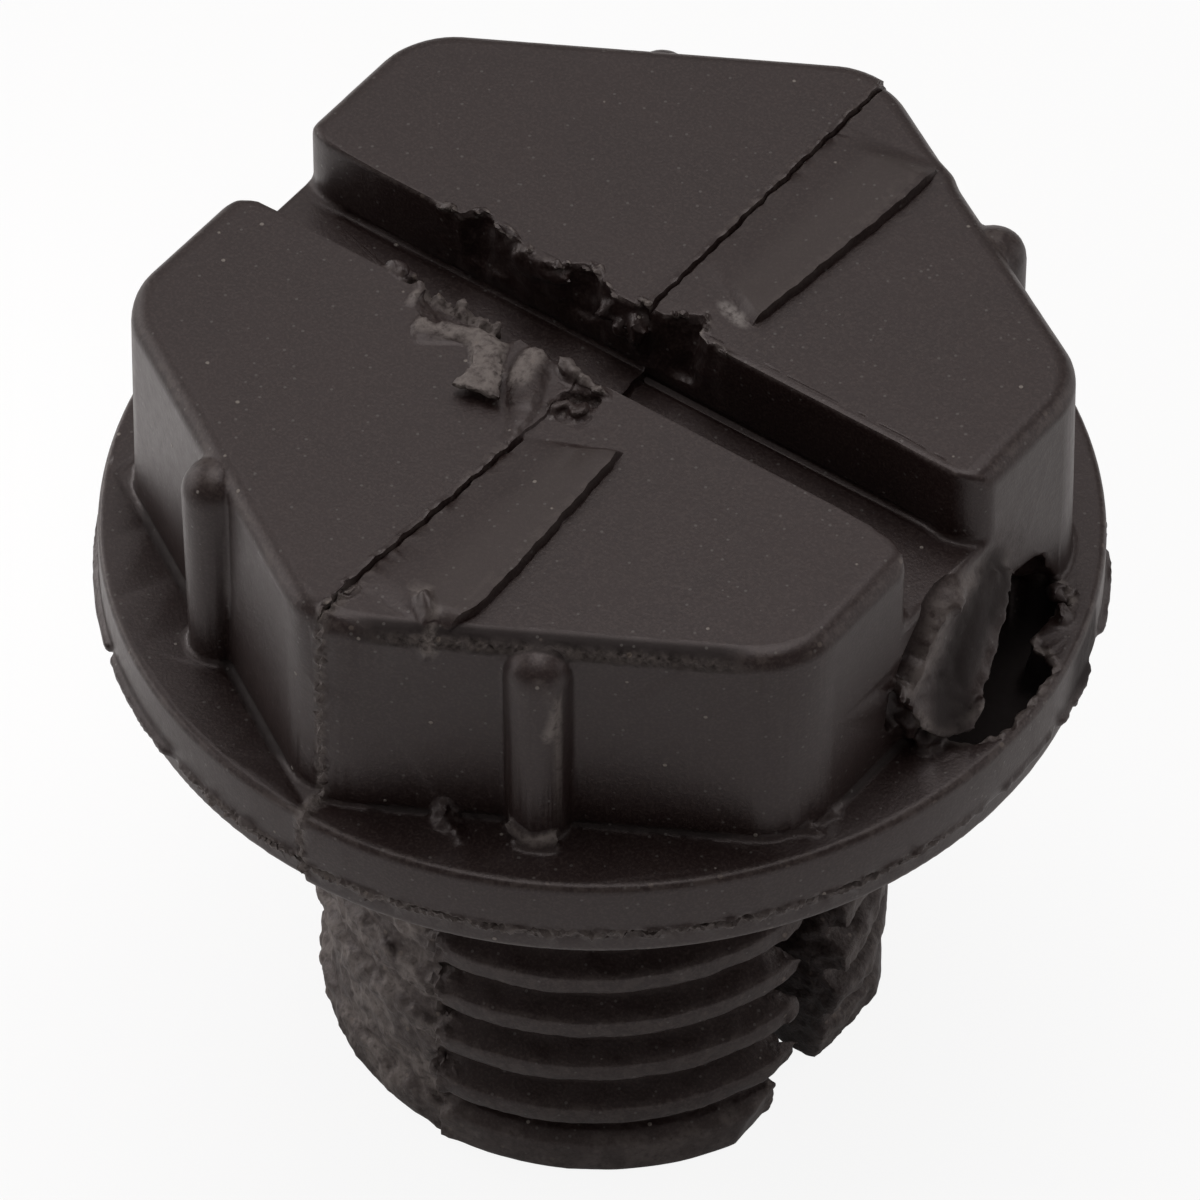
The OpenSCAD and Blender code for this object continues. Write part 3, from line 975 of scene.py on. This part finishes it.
def shape_top(piece):
    """The parting line's slit, the ramps with their steps, and the shift between the mould's halves."""
    points = places(piece)
    x, y, z = points.T
    top = smooth_step(T - 0.5, T - 0.2, z)
    on_flat = np.abs(z - T) < 0.002
    middle = on_flat & (np.abs(y) > 3) & (np.abs(y) < 8)
    line = nearest_column(x[middle], 0.3)
    step = nearest_column(x[middle], RAMP_STEP_X)
    row = nearest_column(y[on_flat & (x > 3.5) & (x < 7)], LIP_LINE_Y)
    half = SKIN / 4
    # The slit; right of it the top is a little lower
    height = slit_height(x, y, line, half) - np.where(x > line + half, STEP_H, 0)
    # A thin line along the far edge of the slot, right of the bites
    broken = waves_along(x, 9, 1.1) > -0.55
    height -= np.where((np.abs(y - row) < half) & (x > 1.9) & (x < 8.3) & broken, 0.028, 0)
    height -= np.where((y < row) & (y > 0) & (x > 1.9), 0.03 * smooth_step(0.05, 0.40, row - y), 0)
    ragged_line = 0.5 + 0.5 * waves_along(y, 3, 0.9)
    for name, (along, across) in RAMPS.items():
        on = (x > line + half) & (x < step + half)
        height += np.where(on, ramp_height(x, y, line, step, name), 0)
        inside = plateau(along[0] + 0.2, along[0] + 0.7, along[-1] - 0.7, along[-1] - 0.3, y)
        gully = (x > step + half) & (x < step + 3 * half)
        height -= np.where(gully, 0.02 * ragged_line, 0) * inside
    z += height * top
    # Both lines wander off their columns
    x += (parting(y) - line) * fall(0.15, 1.15, np.abs(x - line)) * smooth_step(T - 2.4, T - 2.0, z)
    for along, across in RAMPS.values():
        inside = plateau(along[0] - 0.4, along[0], along[-1], along[-1] + 0.4, y)
        wander = np.interp(y, along, across) + 0.012 * np.sin(y * 5.3) + 0.010 * np.sin(y * 11.9 + 2)
        x += (wander - step) * fall(0.15, 0.95, np.abs(x - step)) * inside * top
    # The mismatch shows on the flats, the rim and the stem
    outer = np.where(z < 0, 1.0, smooth_step(7.0, 9.0, np.hypot(x, y)))
    y += np.where(x > 0.2, -0.06, 0.06) * outer
    put_places(piece, points)


def debris(points):
    """How far the nodules and debris stand out on the broken rims, the front edge and the front seam."""
    height = points[:, 2]
    bitten = bitten_edges(points, 0.05, 0.16) * smooth_step(T - 0.16, T - 0.06, height)
    push = bitten * 0.14 * np.clip(waves(points, 21, 0.28) - 0.15, 0, 1)
    push += front_edge(points) * (0.060 * waves(points, 22, 0.40) + 0.035 * waves(points, 23, 0.16))
    broken = near(points, CRATER, 0.06, 0.2) * plateau(F - 0.35, F - 0.1, F + 0.1, F + 0.3, height)
    broken *= smooth_step(-0.9, -0.3, points[:, 1] + 0.6 * (points[:, 0] - 10.3))
    push += broken * (0.05 * waves(points, 28, 0.45) + 0.025 * waves(points, 29, 0.18))
    return push + corner_seam(points) * 0.13 * np.clip(waves(points, 24, 0.35), -0.3, 1)


def torn_line(points):
    """The torn line low on the rim, with dashes of shadow in it."""
    band = rim_band(points)
    dashes = smooth_step(0.0, 0.3, waves_along(np.radians(angle_of(points)) * 11, 27, 2.6))
    dash_line = fall(0.04, 0.09, np.abs(points[:, 2] - F + RIM_H - 0.05))
    push = band * (0.07 * waves(points, 25, 0.5) + 0.05 * waves(points, 26, 0.18))
    return push - 0.24 * dashes * dash_line * smooth_step(0.3, 0.8, band)


def creases(points):
    """How far the corners at the head's foot and along the slot's floor are drawn in."""
    flats = np.array([[0.5, 0.5, 1.0], [math.sqrt(0.75), -math.sqrt(0.75), 0.0]])
    reach = np.abs(points[:, :2] @ flats).max(axis=1)
    foot = fall(0.05, 0.16, np.hypot(reach - FLAT_R - 0.03, points[:, 2] - F - 0.03))
    foot *= fall(7.6, 8.2, points[:, 0])
    floor_z = T - SLOT_D + np.where(points[:, 0] < PARTING_X, FLOOR_STEP, 0)
    corner = fall(0.05, 0.16, np.hypot(points[:, 1] - SLOT_W / 2 + 0.03, points[:, 2] - floor_z - 0.03))
    return np.maximum(0.04 * foot, 0.06 * corner * (np.abs(points[:, 0]) < 8))


# The tongue's left side, where the flat is hollow, and how deep
TONGUE_SIDE = [
    (9.45, 0.05, F + 3.60), (9.48, -0.75, F + 3.30), (9.50, -1.45, F + 2.60), (9.52, -1.95, F + 1.80),
    (9.55, -2.10, F + 1.0),
]
HOLLOW_DEPTH = 0.34


def wear_edges(piece):
    """Small nodules and debris, the rim's torn line, the creases, and the hollow beside the tongue."""
    points = places(piece)
    push = debris(points) + torn_line(points) - creases(points)
    points += read(piece.data.vertex_normals, "vector") * push[:, None]
    points[:, 0] -= HOLLOW_DEPTH * near(points, TONGUE_SIDE, 0.08, 0.34)
    put_places(piece, points)


def tooth_ends(piece):
    """The thread's ridges run out into the notch as saw teeth."""
    points = places(piece)
    x, y, z = points.T
    notch_low = NOTCH_Y - NOTCH_W / 2
    phase = (z - FIRST_RIDGE_Z - notch_low * math.sin(LEAD_TILT)) / PITCH
    crest = 0.5 + 0.5 * np.cos(2 * math.pi * phase)
    beside = fall(0.1, 0.8, np.abs(y - notch_low))
    outer = smooth_step(5.2, 6.2, np.hypot(x, y)) * (x > 4) * fall(-1.2, -0.6, z)
    outer *= smooth_step(COLLAR_H - STEM_LEN, COLLAR_H - STEM_LEN + 0.5, z)
    y += beside * outer * (0.42 * crest - 0.12 + 0.12 * waves(points, 31, 0.6))
    put_places(piece, points)


def roughen_places(piece):
    """The slot's mouths are rounder, and the broken and worn places rough."""
    points = places(piece)
    right = zone(points, (8.4, -2.6, T - 2.3), (9.6, 2.6, T + 0.1), 0.3)
    left = zone(points, (-9.6, -2.6, T - 2.3), (-8.4, 2.6, T + 0.1), 0.3)
    modify_where(piece, np.maximum(right, left), "SMOOTH", factor=0.5, iterations=12)
    points = places(piece)
    torn = torn_weight(points)
    rear = rear_weight(points)
    far_wall = zone(points, (-5.4, 1.0, T - 1.7), (2.6, 1.9, T - 0.15), 0.12)
    for weight, size, strength in (
        (torn, 0.30, 0.10), (torn, 0.12, 0.05), (rear, 0.80, 0.22), (rear, 0.30, 0.14),
        (notch_weight(points), 0.45, 0.20), (far_wall, 0.40, 0.14), (thread_weight(points), 0.60, 0.07),
        (seam_weight(points), 0.30, 0.24),
    ):
        roughen(piece, weight, size, strength)


def model_plug():
    head = model_head()
    for i, (outline, deep) in enumerate(zip(FAR_BITES, FAR_DEPTHS)):
        bite(head, outline, deep, 1.0 + i)
    for i, (outline, deep) in enumerate(zip(NEAR_TEARS, NEAR_DEPTHS)):
        bite(head, outline, deep, 40.0 + i)
    cut(head, lump("pit", (0.74, -2.10, T + 0.04), (0.52, 0.62, 0.30), rough=0.22, grain=2.0, seed=13.0))
    solids = [head] + [model_rib(name, *sizes) for name, sizes in RIBS.items()] + model_flange()
    for part in solids:
        cut(part, crater_tool())
        cut(part, lump("gouge", flank(9.30, 2.55, 0.25), (0.72, 1.55, 1.45), rough=0.12, grain=1.5, seed=9))
    plug = joined(solids + model_stem() + model_gate() + model_flakes() + model_marks())
    plug.name = "plug"
    modify(plug, "REMESH", mode="VOXEL", voxel_size=SKIN, adaptivity=0)
    modify(plug, "SMOOTH", factor=0.5, iterations=2)
    refine(plug, fine_places)
    roughen_places(plug)
    shape_top(plug)
    wear_edges(plug)
    tooth_ends(plug)
    thin(plug)
    # The stem stands flat on its end, and no flake stands higher than in the part
    points = places(plug)
    points[:, 2] = np.clip(points[:, 2], -STEM_LEN, HIGHEST)
    put_places(plug, points)
    # Nothing hangs loose beside it
    choose(plug, "VERT", lambda c: c.z < -STEM_LEN + CLOSE)
    bpy.ops.mesh.select_linked()
    bpy.ops.mesh.select_all(action="INVERT")
    bpy.ops.mesh.delete(type="VERT")
    leave()
    return plug


# Boxes on the top, from above, that hold its fine shapes
FINE_BOXES = [
    ((-0.15, 1.55), (3.35, 9.3)), ((-0.15, -9.5), (3.35, -2.45)), ((-5.7, 0.5), (2.9, 2.1)),
    ((-5.3, -3.95), (1.6, -0.5)), ((1.2, -9.3), (2.5, -8.35)), ((1.25, 1.9), (2.75, 2.95)),
]


def kept_corners(points):
    """Rings of corners round the top's fine places, so no long face reaches from them across the flat."""
    kept = np.zeros(len(points), dtype=bool)
    for low, high in FINE_BOXES:
        gap = np.maximum(np.maximum(np.array(low) - points[:, :2], points[:, :2] - np.array(high)), 0)
        far = np.linalg.norm(gap, axis=1)
        kept |= (far > 0) & (far < 1.3 * SKIN)
    kept &= np.abs(points[:, 2] - T) < RAMP_H + 0.05
    angle = angle_of(points)
    above_crust = (radius_of(points) > FLANGE_R - 0.2) & (np.abs(points[:, 2] - F + RIM_H - 0.34) < 0.05)
    return kept | (above_crust & (angle > -115) & (angle < 0))


def thin(piece):
    """Brings the skin under its number of triangles; flat places lose them first."""
    free = piece.vertex_groups.new(name="free")
    free.add(np.nonzero(~kept_corners(places(piece)))[0].tolist(), 1.0, "REPLACE")
    triangles = sum(len(f.vertices) - 2 for f in piece.data.polygons)
    modify(piece, "DECIMATE", ratio=FACE_LIMIT / triangles, vertex_group="free", vertex_group_factor=1.0)
    piece.vertex_groups.clear()


# Wear, painted light and painted shade, kept on the skin for the finish to read

# The bottom of the tongue's hollow face, along which shade is painted
GUTTER = [
    (9.62, 1.5, F + 2.5), (9.66, 0.5, F + 2.2), (9.72, -0.2, F + 1.6), (9.86, -0.85, F + 1.0),
    (10.05, -0.95, F + 0.75),
]


def pale_and_lit_bands(points):
    """The paler bands: the rough rear, its paleness partly painted light, the collar, the notch's right
    side, the torn line, the seams.
    """
    rear, thread = rear_weight(points), thread_weight(points)
    collar = 0.45 * thread * fall(COLLAR_H - STEM_LEN - 0.2, COLLAR_H - STEM_LEN, points[:, 2])
    notch = 0.3 * notch_weight(points) * smooth_step(0.3, 0.8, points[:, 1])
    rim = (0.35 + 0.35 * fall(2.0, 5.0, points[:, 0])) * rim_band(points)
    edges = [0.35 * seam_weight(points), 0.6 * corner_seam(points), 0.45 * front_edge(points)]
    return np.maximum.reduce([rear, collar, notch, rim] + edges)


def keep_wear_and_painted_light(piece):
    points = places(piece)
    edges = [notch_weight, seam_weight, rim_band, corner_seam, front_edge]
    torn = [torn_weight(points), 0.7 * rear_weight(points)] + [weight(points) for weight in edges]
    crater = zone(points, (8.9, -1.0, F - 1.6), (10.9, 4.2, F - 0.35), 0.3)
    kept = {
        "torn": np.maximum.reduce(torn),
        "pale_and_lit": np.maximum(pale_and_lit_weight(points), pale_and_lit_bands(points)),
        # painted shade in the tongue's gutter and down in the crater
        "hollow": np.maximum(near(points, GUTTER, 0.40, 0.95), crater),
    }
    for name, weight in kept.items():
        layer = piece.data.attributes.new(name, "FLOAT", "POINT")
        layer.data.foreach_set("value", weight.astype(np.float32))


plug = model_plug()
keep_wear_and_painted_light(plug)


# Camera, floor and light

CAMERA_AZIMUTH = math.radians(36.431)
CAMERA_ELEVATION = math.radians(46.4)
CAMERA_DISTANCE = 217.35
CAMERA_ASIDE = -0.045
CAMERA_UP = -1.989
CAMERA_LENS = 290.87
SENSOR_WIDTH = 36


def direction(azimuth, elevation):
    """The way from the plug to a place round it."""
    level_part = math.cos(elevation)
    return Vector((math.sin(azimuth) * level_part, -math.cos(azimuth) * level_part, math.sin(elevation)))


def model_camera():
    back = direction(CAMERA_AZIMUTH, CAMERA_ELEVATION)
    right = Vector((math.cos(CAMERA_AZIMUTH), math.sin(CAMERA_AZIMUTH), 0))
    up = back.cross(right)
    place = Vector((0, 0, FLANGE_H)) + back * CAMERA_DISTANCE + right * CAMERA_ASIDE + up * CAMERA_UP
    data = bpy.data.cameras.new("camera")
    data.sensor_width = SENSOR_WIDTH
    data.lens = CAMERA_LENS
    data.clip_start = 0.01
    data.clip_end = 10
    camera = bpy.data.objects.new("camera", data)
    bpy.context.collection.objects.link(camera)
    turn = Matrix((right, up, back)).transposed().to_4x4()
    camera.matrix_world = Matrix.Translation(place * MM) @ turn
    bpy.context.scene.camera = camera


LAMP_COLOUR = (1.0, 0.96, 0.95)
PLUG_MIDDLE = (0, 0, 0.002)
# Square lamps: azimuth, elevation, distance and size in metres, the face's brightness beside white, the aim
LAMPS = {
    "back": (216, 48, 0.55, 0.5, 0.47, PLUG_MIDDLE),
    "overhead": (216, 78, 0.5, 0.35, 2.4, PLUG_MIDDLE),
    "left": (-80, 12, 0.5, 0.55, 1.5, PLUG_MIDDLE),
    "low left": (-90, 80, 0.016, 0.013, 3.5, (-0.027, -0.004, -0.0129)),
    "right": (140, 20, 0.5, 0.4, 0.9, PLUG_MIDDLE),
}


def soft_light(name, azimuth, elevation, distance, size, glow, aim):
    away = direction(math.radians(azimuth), math.radians(elevation))
    data = bpy.data.lights.new(name, "AREA")
    data.shape = "SQUARE"
    data.size = size
    data.energy = glow * math.pi * size * size
    data.color = LAMP_COLOUR
    light = bpy.data.objects.new(name, data)
    bpy.context.collection.objects.link(light)
    light.location = Vector(aim) + away * distance
    light.rotation_mode = "QUATERNION"
    light.rotation_quaternion = (-away).to_track_quat("-Z", "Y")


model_camera()
for name, sizes in LAMPS.items():
    soft_light(name, *sizes)

bpy.ops.mesh.primitive_plane_add(size=3, location=(0, 0, -STEM_LEN * MM))
floor = bpy.context.active_object
floor.name = "floor"


# Finishes


class Value:
    """A value in a finish; a sum or product on it adds its Math node."""

    def __init__(self, finish, socket):
        self.finish = finish
        self.socket = socket

    def __add__(self, other):
        return self.finish.math("ADD", self, other)

    def __radd__(self, other):
        return self.finish.math("ADD", other, self)

    def __sub__(self, other):
        return self.finish.math("SUBTRACT", self, other)

    def __rsub__(self, other):
        return self.finish.math("SUBTRACT", other, self)

    def __mul__(self, other):
        return self.finish.math("MULTIPLY", self, other)

    def __rmul__(self, other):
        return self.finish.math("MULTIPLY", other, self)

    def __abs__(self):
        return self.finish.math("ABSOLUTE", self)

    def __gt__(self, other):
        return self.finish.math("GREATER_THAN", self, other)

    def __lt__(self, other):
        return self.finish.math("LESS_THAN", self, other)


class Finish:
    """A material and its nodes."""

    def __init__(self, name, roughness=0.5, specular=0.5):
        self.material = bpy.data.materials.new(name)
        self.material.use_nodes = True
        self.tree = self.material.node_tree
        self.shader = self.tree.nodes["Principled BSDF"]
        self.shader.inputs["Roughness"].default_value = roughness
        self.shader.inputs["Specular IOR Level"].default_value = specular

    def node(self, kind, settings, sockets, output=0):
        made = self.tree.nodes.new(kind)
        for key, value in settings.items():
            setattr(made, key, value)
        for key, value in sockets.items():
            if isinstance(value, Value):
                self.tree.links.new(value.socket, made.inputs[key])
            else:
                made.inputs[key].default_value = value
        return Value(self, made.outputs[output])

    def math(self, operation, *values):
        return self.node("ShaderNodeMath", {"operation": operation}, dict(enumerate(values)))

    def most(self, first, *others):
        for other in others:
            first = self.math("MAXIMUM", first, other)
        return first

    def feed(self, socket, value):
        self.tree.links.new(value.socket, self.shader.inputs[socket])

    def ease(self, value, low, high):
        """0 below low, 1 above high, eased between."""
        sockets = {"Value": value, "From Min": low, "From Max": high}
        return self.node("ShaderNodeMapRange", {"interpolation_type": "SMOOTHSTEP"}, sockets)

    def fade(self, value, low, high):
        """1 below low, 0 above high."""
        return 1 - self.ease(value, low, high)

    def blend(self, amount, first, second):
        return self.node("ShaderNodeMix", {"data_type": "RGBA"}, {0: amount, 6: first, 7: second}, output=2)

    def worn(self, name):
        return self.node("ShaderNodeAttribute", {"attribute_name": name}, {}, output=2)

    def noise(self, place, scale, detail, rough=0.6):
        sockets = {"Vector": place, "Scale": scale, "Detail": detail, "Roughness": rough}
        return self.node("ShaderNodeTexNoise", {}, sockets)

    def shifted(self, place, offset):
        return self.node("ShaderNodeMapping", {}, {"Vector": place, "Location": offset})

    def specks(self, place, spacing, radius, share):
        """Sparse round specks: spacing and radius in millimetres, and what share of the places has one."""
        gap = self.node("ShaderNodeTexVoronoi", {}, {"Vector": place, "Scale": 1 / spacing})
        colour = Value(self, gap.socket.node.outputs[1])
        chance = self.node("ShaderNodeSeparateColor", {}, {"Color": colour})
        return (chance < share) * self.fade(gap, radius / spacing * 0.6, radius / spacing)


def axes(finish, place):
    """The place's X, Y and Z."""
    apart = finish.node("ShaderNodeSeparateXYZ", {}, {"Vector": place})
    return [Value(finish, output) for output in apart.socket.node.outputs]


def head_reach(finish, x, y):
    """How far out a place lies, measured square to the flat that it faces."""
    aside = abs(y) * math.sqrt(0.75)
    return finish.most(abs(x), abs(x * 0.5 + aside), abs(x * 0.5 - aside))


def ramp_facet_highlight(finish, x, y):
    """The painted highlight on the facet at the far ramp's inner end."""
    along = (x - 1.92) * -0.95 + (y - 2.26) * 0.31
    across = (x - 1.92) * 0.31 + (y - 2.26) * 0.95
    return finish.fade(along * along * 2.8 + across * across * 17, 0.0, 1.1)


def lit_ramp_tops(finish, x, y, z):
    """The two ramps beside the parting line, where they stand above the flat; their tops get painted light.
    """
    return finish.ease(z, T, T + 0.10) * (abs(x - 1.55) < 1.25) * (abs(y) > 2.2)


def shaded_corners(finish, x, y, z, reach, radius):
    """Painted shade in the corner at the head's foot, and a painted dark band under the top edge of the
    front flat that stands in for shade on its bevel.
    """
    foot = finish.fade(abs(z - F - 0.04), 0.04, 0.14) * finish.fade(abs(reach - FLAT_R - 0.02), 0.05, 0.16)
    foot = foot * finish.fade(radius, 10.20, 10.42)
    front = x * 0.5 - y * math.sqrt(0.75)
    along = x * math.sqrt(0.75) + y * 0.5
    drop = T - z
    edge = finish.ease(front, FLAT_TOP_R - 0.45, FLAT_TOP_R - 0.25) * finish.ease(drop, 0.03, 0.10)
    ends = finish.fade(drop, 0.42, 0.58) * finish.fade(abs(along + 0.1), 3.6, 4.6)
    return finish.most(foot, edge * ends * finish.fade(front, FLAT_TOP_R + 0.10, FLAT_TOP_R + 0.22))


def scuffed_lit_edges(finish, x, y, z, reach, radius):
    """The edges that get scuffed, and the painted highlights along them: round the head's top and the rim,
    along the slot, on the crests.
    """
    head = finish.ease(reach, FLAT_TOP_R - 0.34, FLAT_TOP_R - 0.16) * finish.ease(z, T - 0.42, T - 0.2)
    slot = finish.fade(abs(abs(y) - SLOT_W / 2), 0.02, 0.10) * finish.ease(z, T - 0.16, T - 0.06)
    rim = finish.fade(abs(radius - FLANGE_R + 0.06), 0.04, 0.14) * finish.fade(abs(z - F + 0.05), 0.05, 0.18)
    crest = finish.ease(radius, THREAD_R - 0.10, THREAD_R - 0.02) * (z < -0.4)
    lip = finish.fade(abs(z - 0.06), 0.05, 0.16) * finish.ease(radius, FLANGE_R - 0.35, FLANGE_R - 0.2)
    line = finish.fade(abs(x - PARTING_X), 0.08, 0.18) * (z > T - 0.12) * (abs(y) > 4)
    ramp = finish.fade(abs(x - RAMP_STEP_X), 0.16, 0.28) * (z > T + 0.10)
    return finish.most(head, slot, rim, crest * 0.7, line * 0.8, ramp * 0.6, lip)


# Tones of the black plastic, from the moulding itself to what lies on it, and the painted light and shade on
# it
DEEP_BLACK = (0.0105, 0.0044, 0.0040, 1)
WARM_BLACK = (0.0135, 0.0062, 0.0056, 1)
GRAIN_TONE = (0.036, 0.025, 0.022, 1)
RAMP_LIGHT_TONE = (0.040, 0.031, 0.028, 1)
PAINTED_SHADE_TONE = (0.0050, 0.0026, 0.0023, 1)
TORN_TONE = (0.060, 0.046, 0.040, 1)
PALE_AND_LIT_TONE = (0.150, 0.132, 0.122, 1)
SCUFF_AND_HIGHLIGHT_TONE = (0.060, 0.048, 0.043, 1)
FACET_HIGHLIGHT_TONE = (0.20, 0.185, 0.175, 1)
FILM_TONE = (0.105, 0.100, 0.095, 1)
CRUMB_TONE = (0.15, 0.125, 0.105, 1)
DUST_TONE = (0.22, 0.20, 0.18, 1)
HOLLOW_SHADE_TONE = (0.0040, 0.0020, 0.0018, 1)
GLOSS_TINT = (1.0, 0.93, 0.93, 1)
PLAIN_ROUGHNESS = 0.28


def paint_black_plastic():
    """Satin black plastic with a fine grain, pale where it is torn, with dust and scuffed edges; painted
    highlights on the edges, the ramps and the smooth curl, painted light on the stem's rear, and painted
    shade at the head's foot, under the front flat's top edge, in the tongue's gutter and in the crater.
    """
    finish = Finish("black_plastic_finish", specular=0.5)
    finish.shader.inputs["Specular Tint"].default_value = GLOSS_TINT
    object_place = finish.node("ShaderNodeTexCoord", {}, {}, output=3)
    place = finish.node("ShaderNodeVectorMath", {"operation": "SCALE"}, {0: object_place, 3: 1 / MM})
    x, y, z = axes(finish, place)
    reach = head_reach(finish, x, y)
    radius = finish.math("SQRT", x * x + y * y)
    painted_shade = shaded_corners(finish, x, y, z, reach, radius)
    edge = scuffed_lit_edges(finish, x, y, z, reach, radius)
    off_top = finish.ease(abs(z - T), 0.004, 0.03)
    torn = finish.worn("torn") * off_top
    pale_and_lit = finish.worn("pale_and_lit") * off_top
    hollow = finish.worn("hollow")

    cloud = finish.noise(place, 0.45, 3.0)
    mottle = finish.noise(place, 3.5, 4.0)
    grain = finish.noise(place, 14.0, 2.0)
    shreds = finish.noise(place, 6.0, 5.0, 0.65)
    patches = finish.noise(place, 1.1, 3.0)
    dust = finish.specks(place, 0.75, 0.060, 0.45)
    film = finish.specks(finish.shifted(place, (9.3, 1.7, 4.9)), 0.26, 0.045, 0.45)
    crumbs = finish.specks(finish.shifted(place, (3.1, 7.7, 1.3)), 0.35, 0.075, 0.45)
    crumbs = crumbs * finish.ease(edge * 0.6 + torn * 0.6 + pale_and_lit * 0.4, 0.25, 0.8)
    scuffs_and_highlights = edge * finish.ease(mottle, 0.42, 0.62) * (1 - painted_shade)
    # On the stem the pale and painted-light places come in patches
    stem = finish.ease(z, -0.2, -0.8)
    pale_and_lit = pale_and_lit * (1 - stem * finish.fade(patches, 0.42, 0.62) * 0.75)

    colour = finish.blend(finish.ease(cloud, 0.3, 0.7), DEEP_BLACK, WARM_BLACK)
    for amount, tone in (
        (finish.ease(grain, 0.42, 0.72) * 0.7, GRAIN_TONE),
        # painted light on the ramps' tops
        (lit_ramp_tops(finish, x, y, z) * 0.5, RAMP_LIGHT_TONE),
        # painted shade: darker at the head's foot and on the band under the front flat's top edge
        (painted_shade * 0.8, PAINTED_SHADE_TONE),
        (torn * finish.ease(shreds, 0.42, 0.74) * 0.6, TORN_TONE),
        # pale torn plastic, plus a painted highlight on the smooth curl and painted light on the stem's
        # rough rear
        (pale_and_lit * finish.ease(shreds + mottle * 0.5, 0.42, 0.88), PALE_AND_LIT_TONE),
        # scuffs on the edges, plus painted highlights along them
        (scuffs_and_highlights * 0.55, SCUFF_AND_HIGHLIGHT_TONE),
        # painted highlight on the far ramp's inner facet
        (ramp_facet_highlight(finish, x, y) * finish.ease(shreds, 0.25, 0.60) * 0.85, FACET_HIGHLIGHT_TONE),
        (film * 0.5, FILM_TONE),
        (crumbs * 0.55, CRUMB_TONE),
        (dust * 0.8, DUST_TONE),
        # painted shade in the tongue's gutter and in the crater
        (hollow * 0.85, HOLLOW_SHADE_TONE),
    ):
        colour = finish.blend(amount, colour, tone)
    finish.feed("Base Color", colour)

    worn = torn * 0.10 + pale_and_lit * 0.10 + dust * 0.2 + hollow * 0.36 + painted_shade * 0.35
    finish.feed("Roughness", cloud * 0.10 + mottle * 0.14 + worn + PLAIN_ROUGHNESS)

    height = grain * 0.0040 + mottle * 0.006 + torn * shreds * 0.05 + dust * 0.012
    bump = finish.node("ShaderNodeBump", {}, {"Strength": 1.0, "Distance": MM, "Height": height})
    finish.feed("Normal", bump)
    return finish.material


# How white the floor looks of itself to the camera and in the plastic's gloss; the rest is light and shadow
FLOOR_GLOW = 0.90
FLOOR_GLOSS = 0.12
FLOOR_TONE = (0.9, 0.9, 0.9, 1)


def paint_paper():
    finish = Finish("paper", roughness=0.9, specular=0.1)
    finish.shader.inputs["Base Color"].default_value = FLOOR_TONE
    seen = finish.node("ShaderNodeLightPath", {}, {}, output=0)
    glossy = finish.node("ShaderNodeLightPath", {}, {}, output=3)
    glow = finish.node("ShaderNodeEmission", {}, {"Color": (1, 1, 1, 1), "Strength": 1.0})
    plain = Value(finish, finish.shader.outputs[0])
    share = seen * FLOOR_GLOW + glossy * FLOOR_GLOSS
    mixed = finish.node("ShaderNodeMixShader", {}, {0: share, 1: plain, 2: glow})
    finish.tree.links.new(mixed.socket, finish.tree.nodes["Material Output"].inputs["Surface"])
    return finish.material


floor.data.materials.append(paint_paper())

ROOM_COLOUR = (1, 0.93, 0.90, 1)
ROOM_STRENGTH = 0.22
world = bpy.data.worlds.new("studio")
world.use_nodes = True
room = world.node_tree.nodes["Background"]
room.inputs["Color"].default_value = ROOM_COLOUR
room.inputs["Strength"].default_value = ROOM_STRENGTH
bpy.context.scene.world = world
bpy.context.scene.view_settings.view_transform = "Standard"

plug.data.materials.clear()
plug.data.materials.append(paint_black_plastic())

only(plug)
plug.scale = (MM, MM, MM)
bpy.ops.object.transform_apply(location=True, rotation=True, scale=True)
bpy.ops.object.shade_smooth_by_angle(angle=math.radians(38))
modify(plug, "WEIGHTED_NORMAL", weight=50, keep_sharp=True)


def flatten_top(piece):
    """The flat of the top reflects as one plane."""
    mesh = piece.data
    normals = read(mesh.corner_normals, "vector")
    height = read(mesh.polygons, "center")[:, 2] / MM
    faces_up = read(mesh.polygons, "normal")[:, 2] > 0.9995
    level_faces = faces_up & (height > T - STEP_H - 0.03) & (height < T + 0.01)
    normals[np.repeat(level_faces, read(mesh.polygons, "loop_total", 1, int))] = (0, 0, 1)
    mesh.normals_split_custom_set(normals)


flatten_top(plug)
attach(plug, "root")
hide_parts("drain_plug")
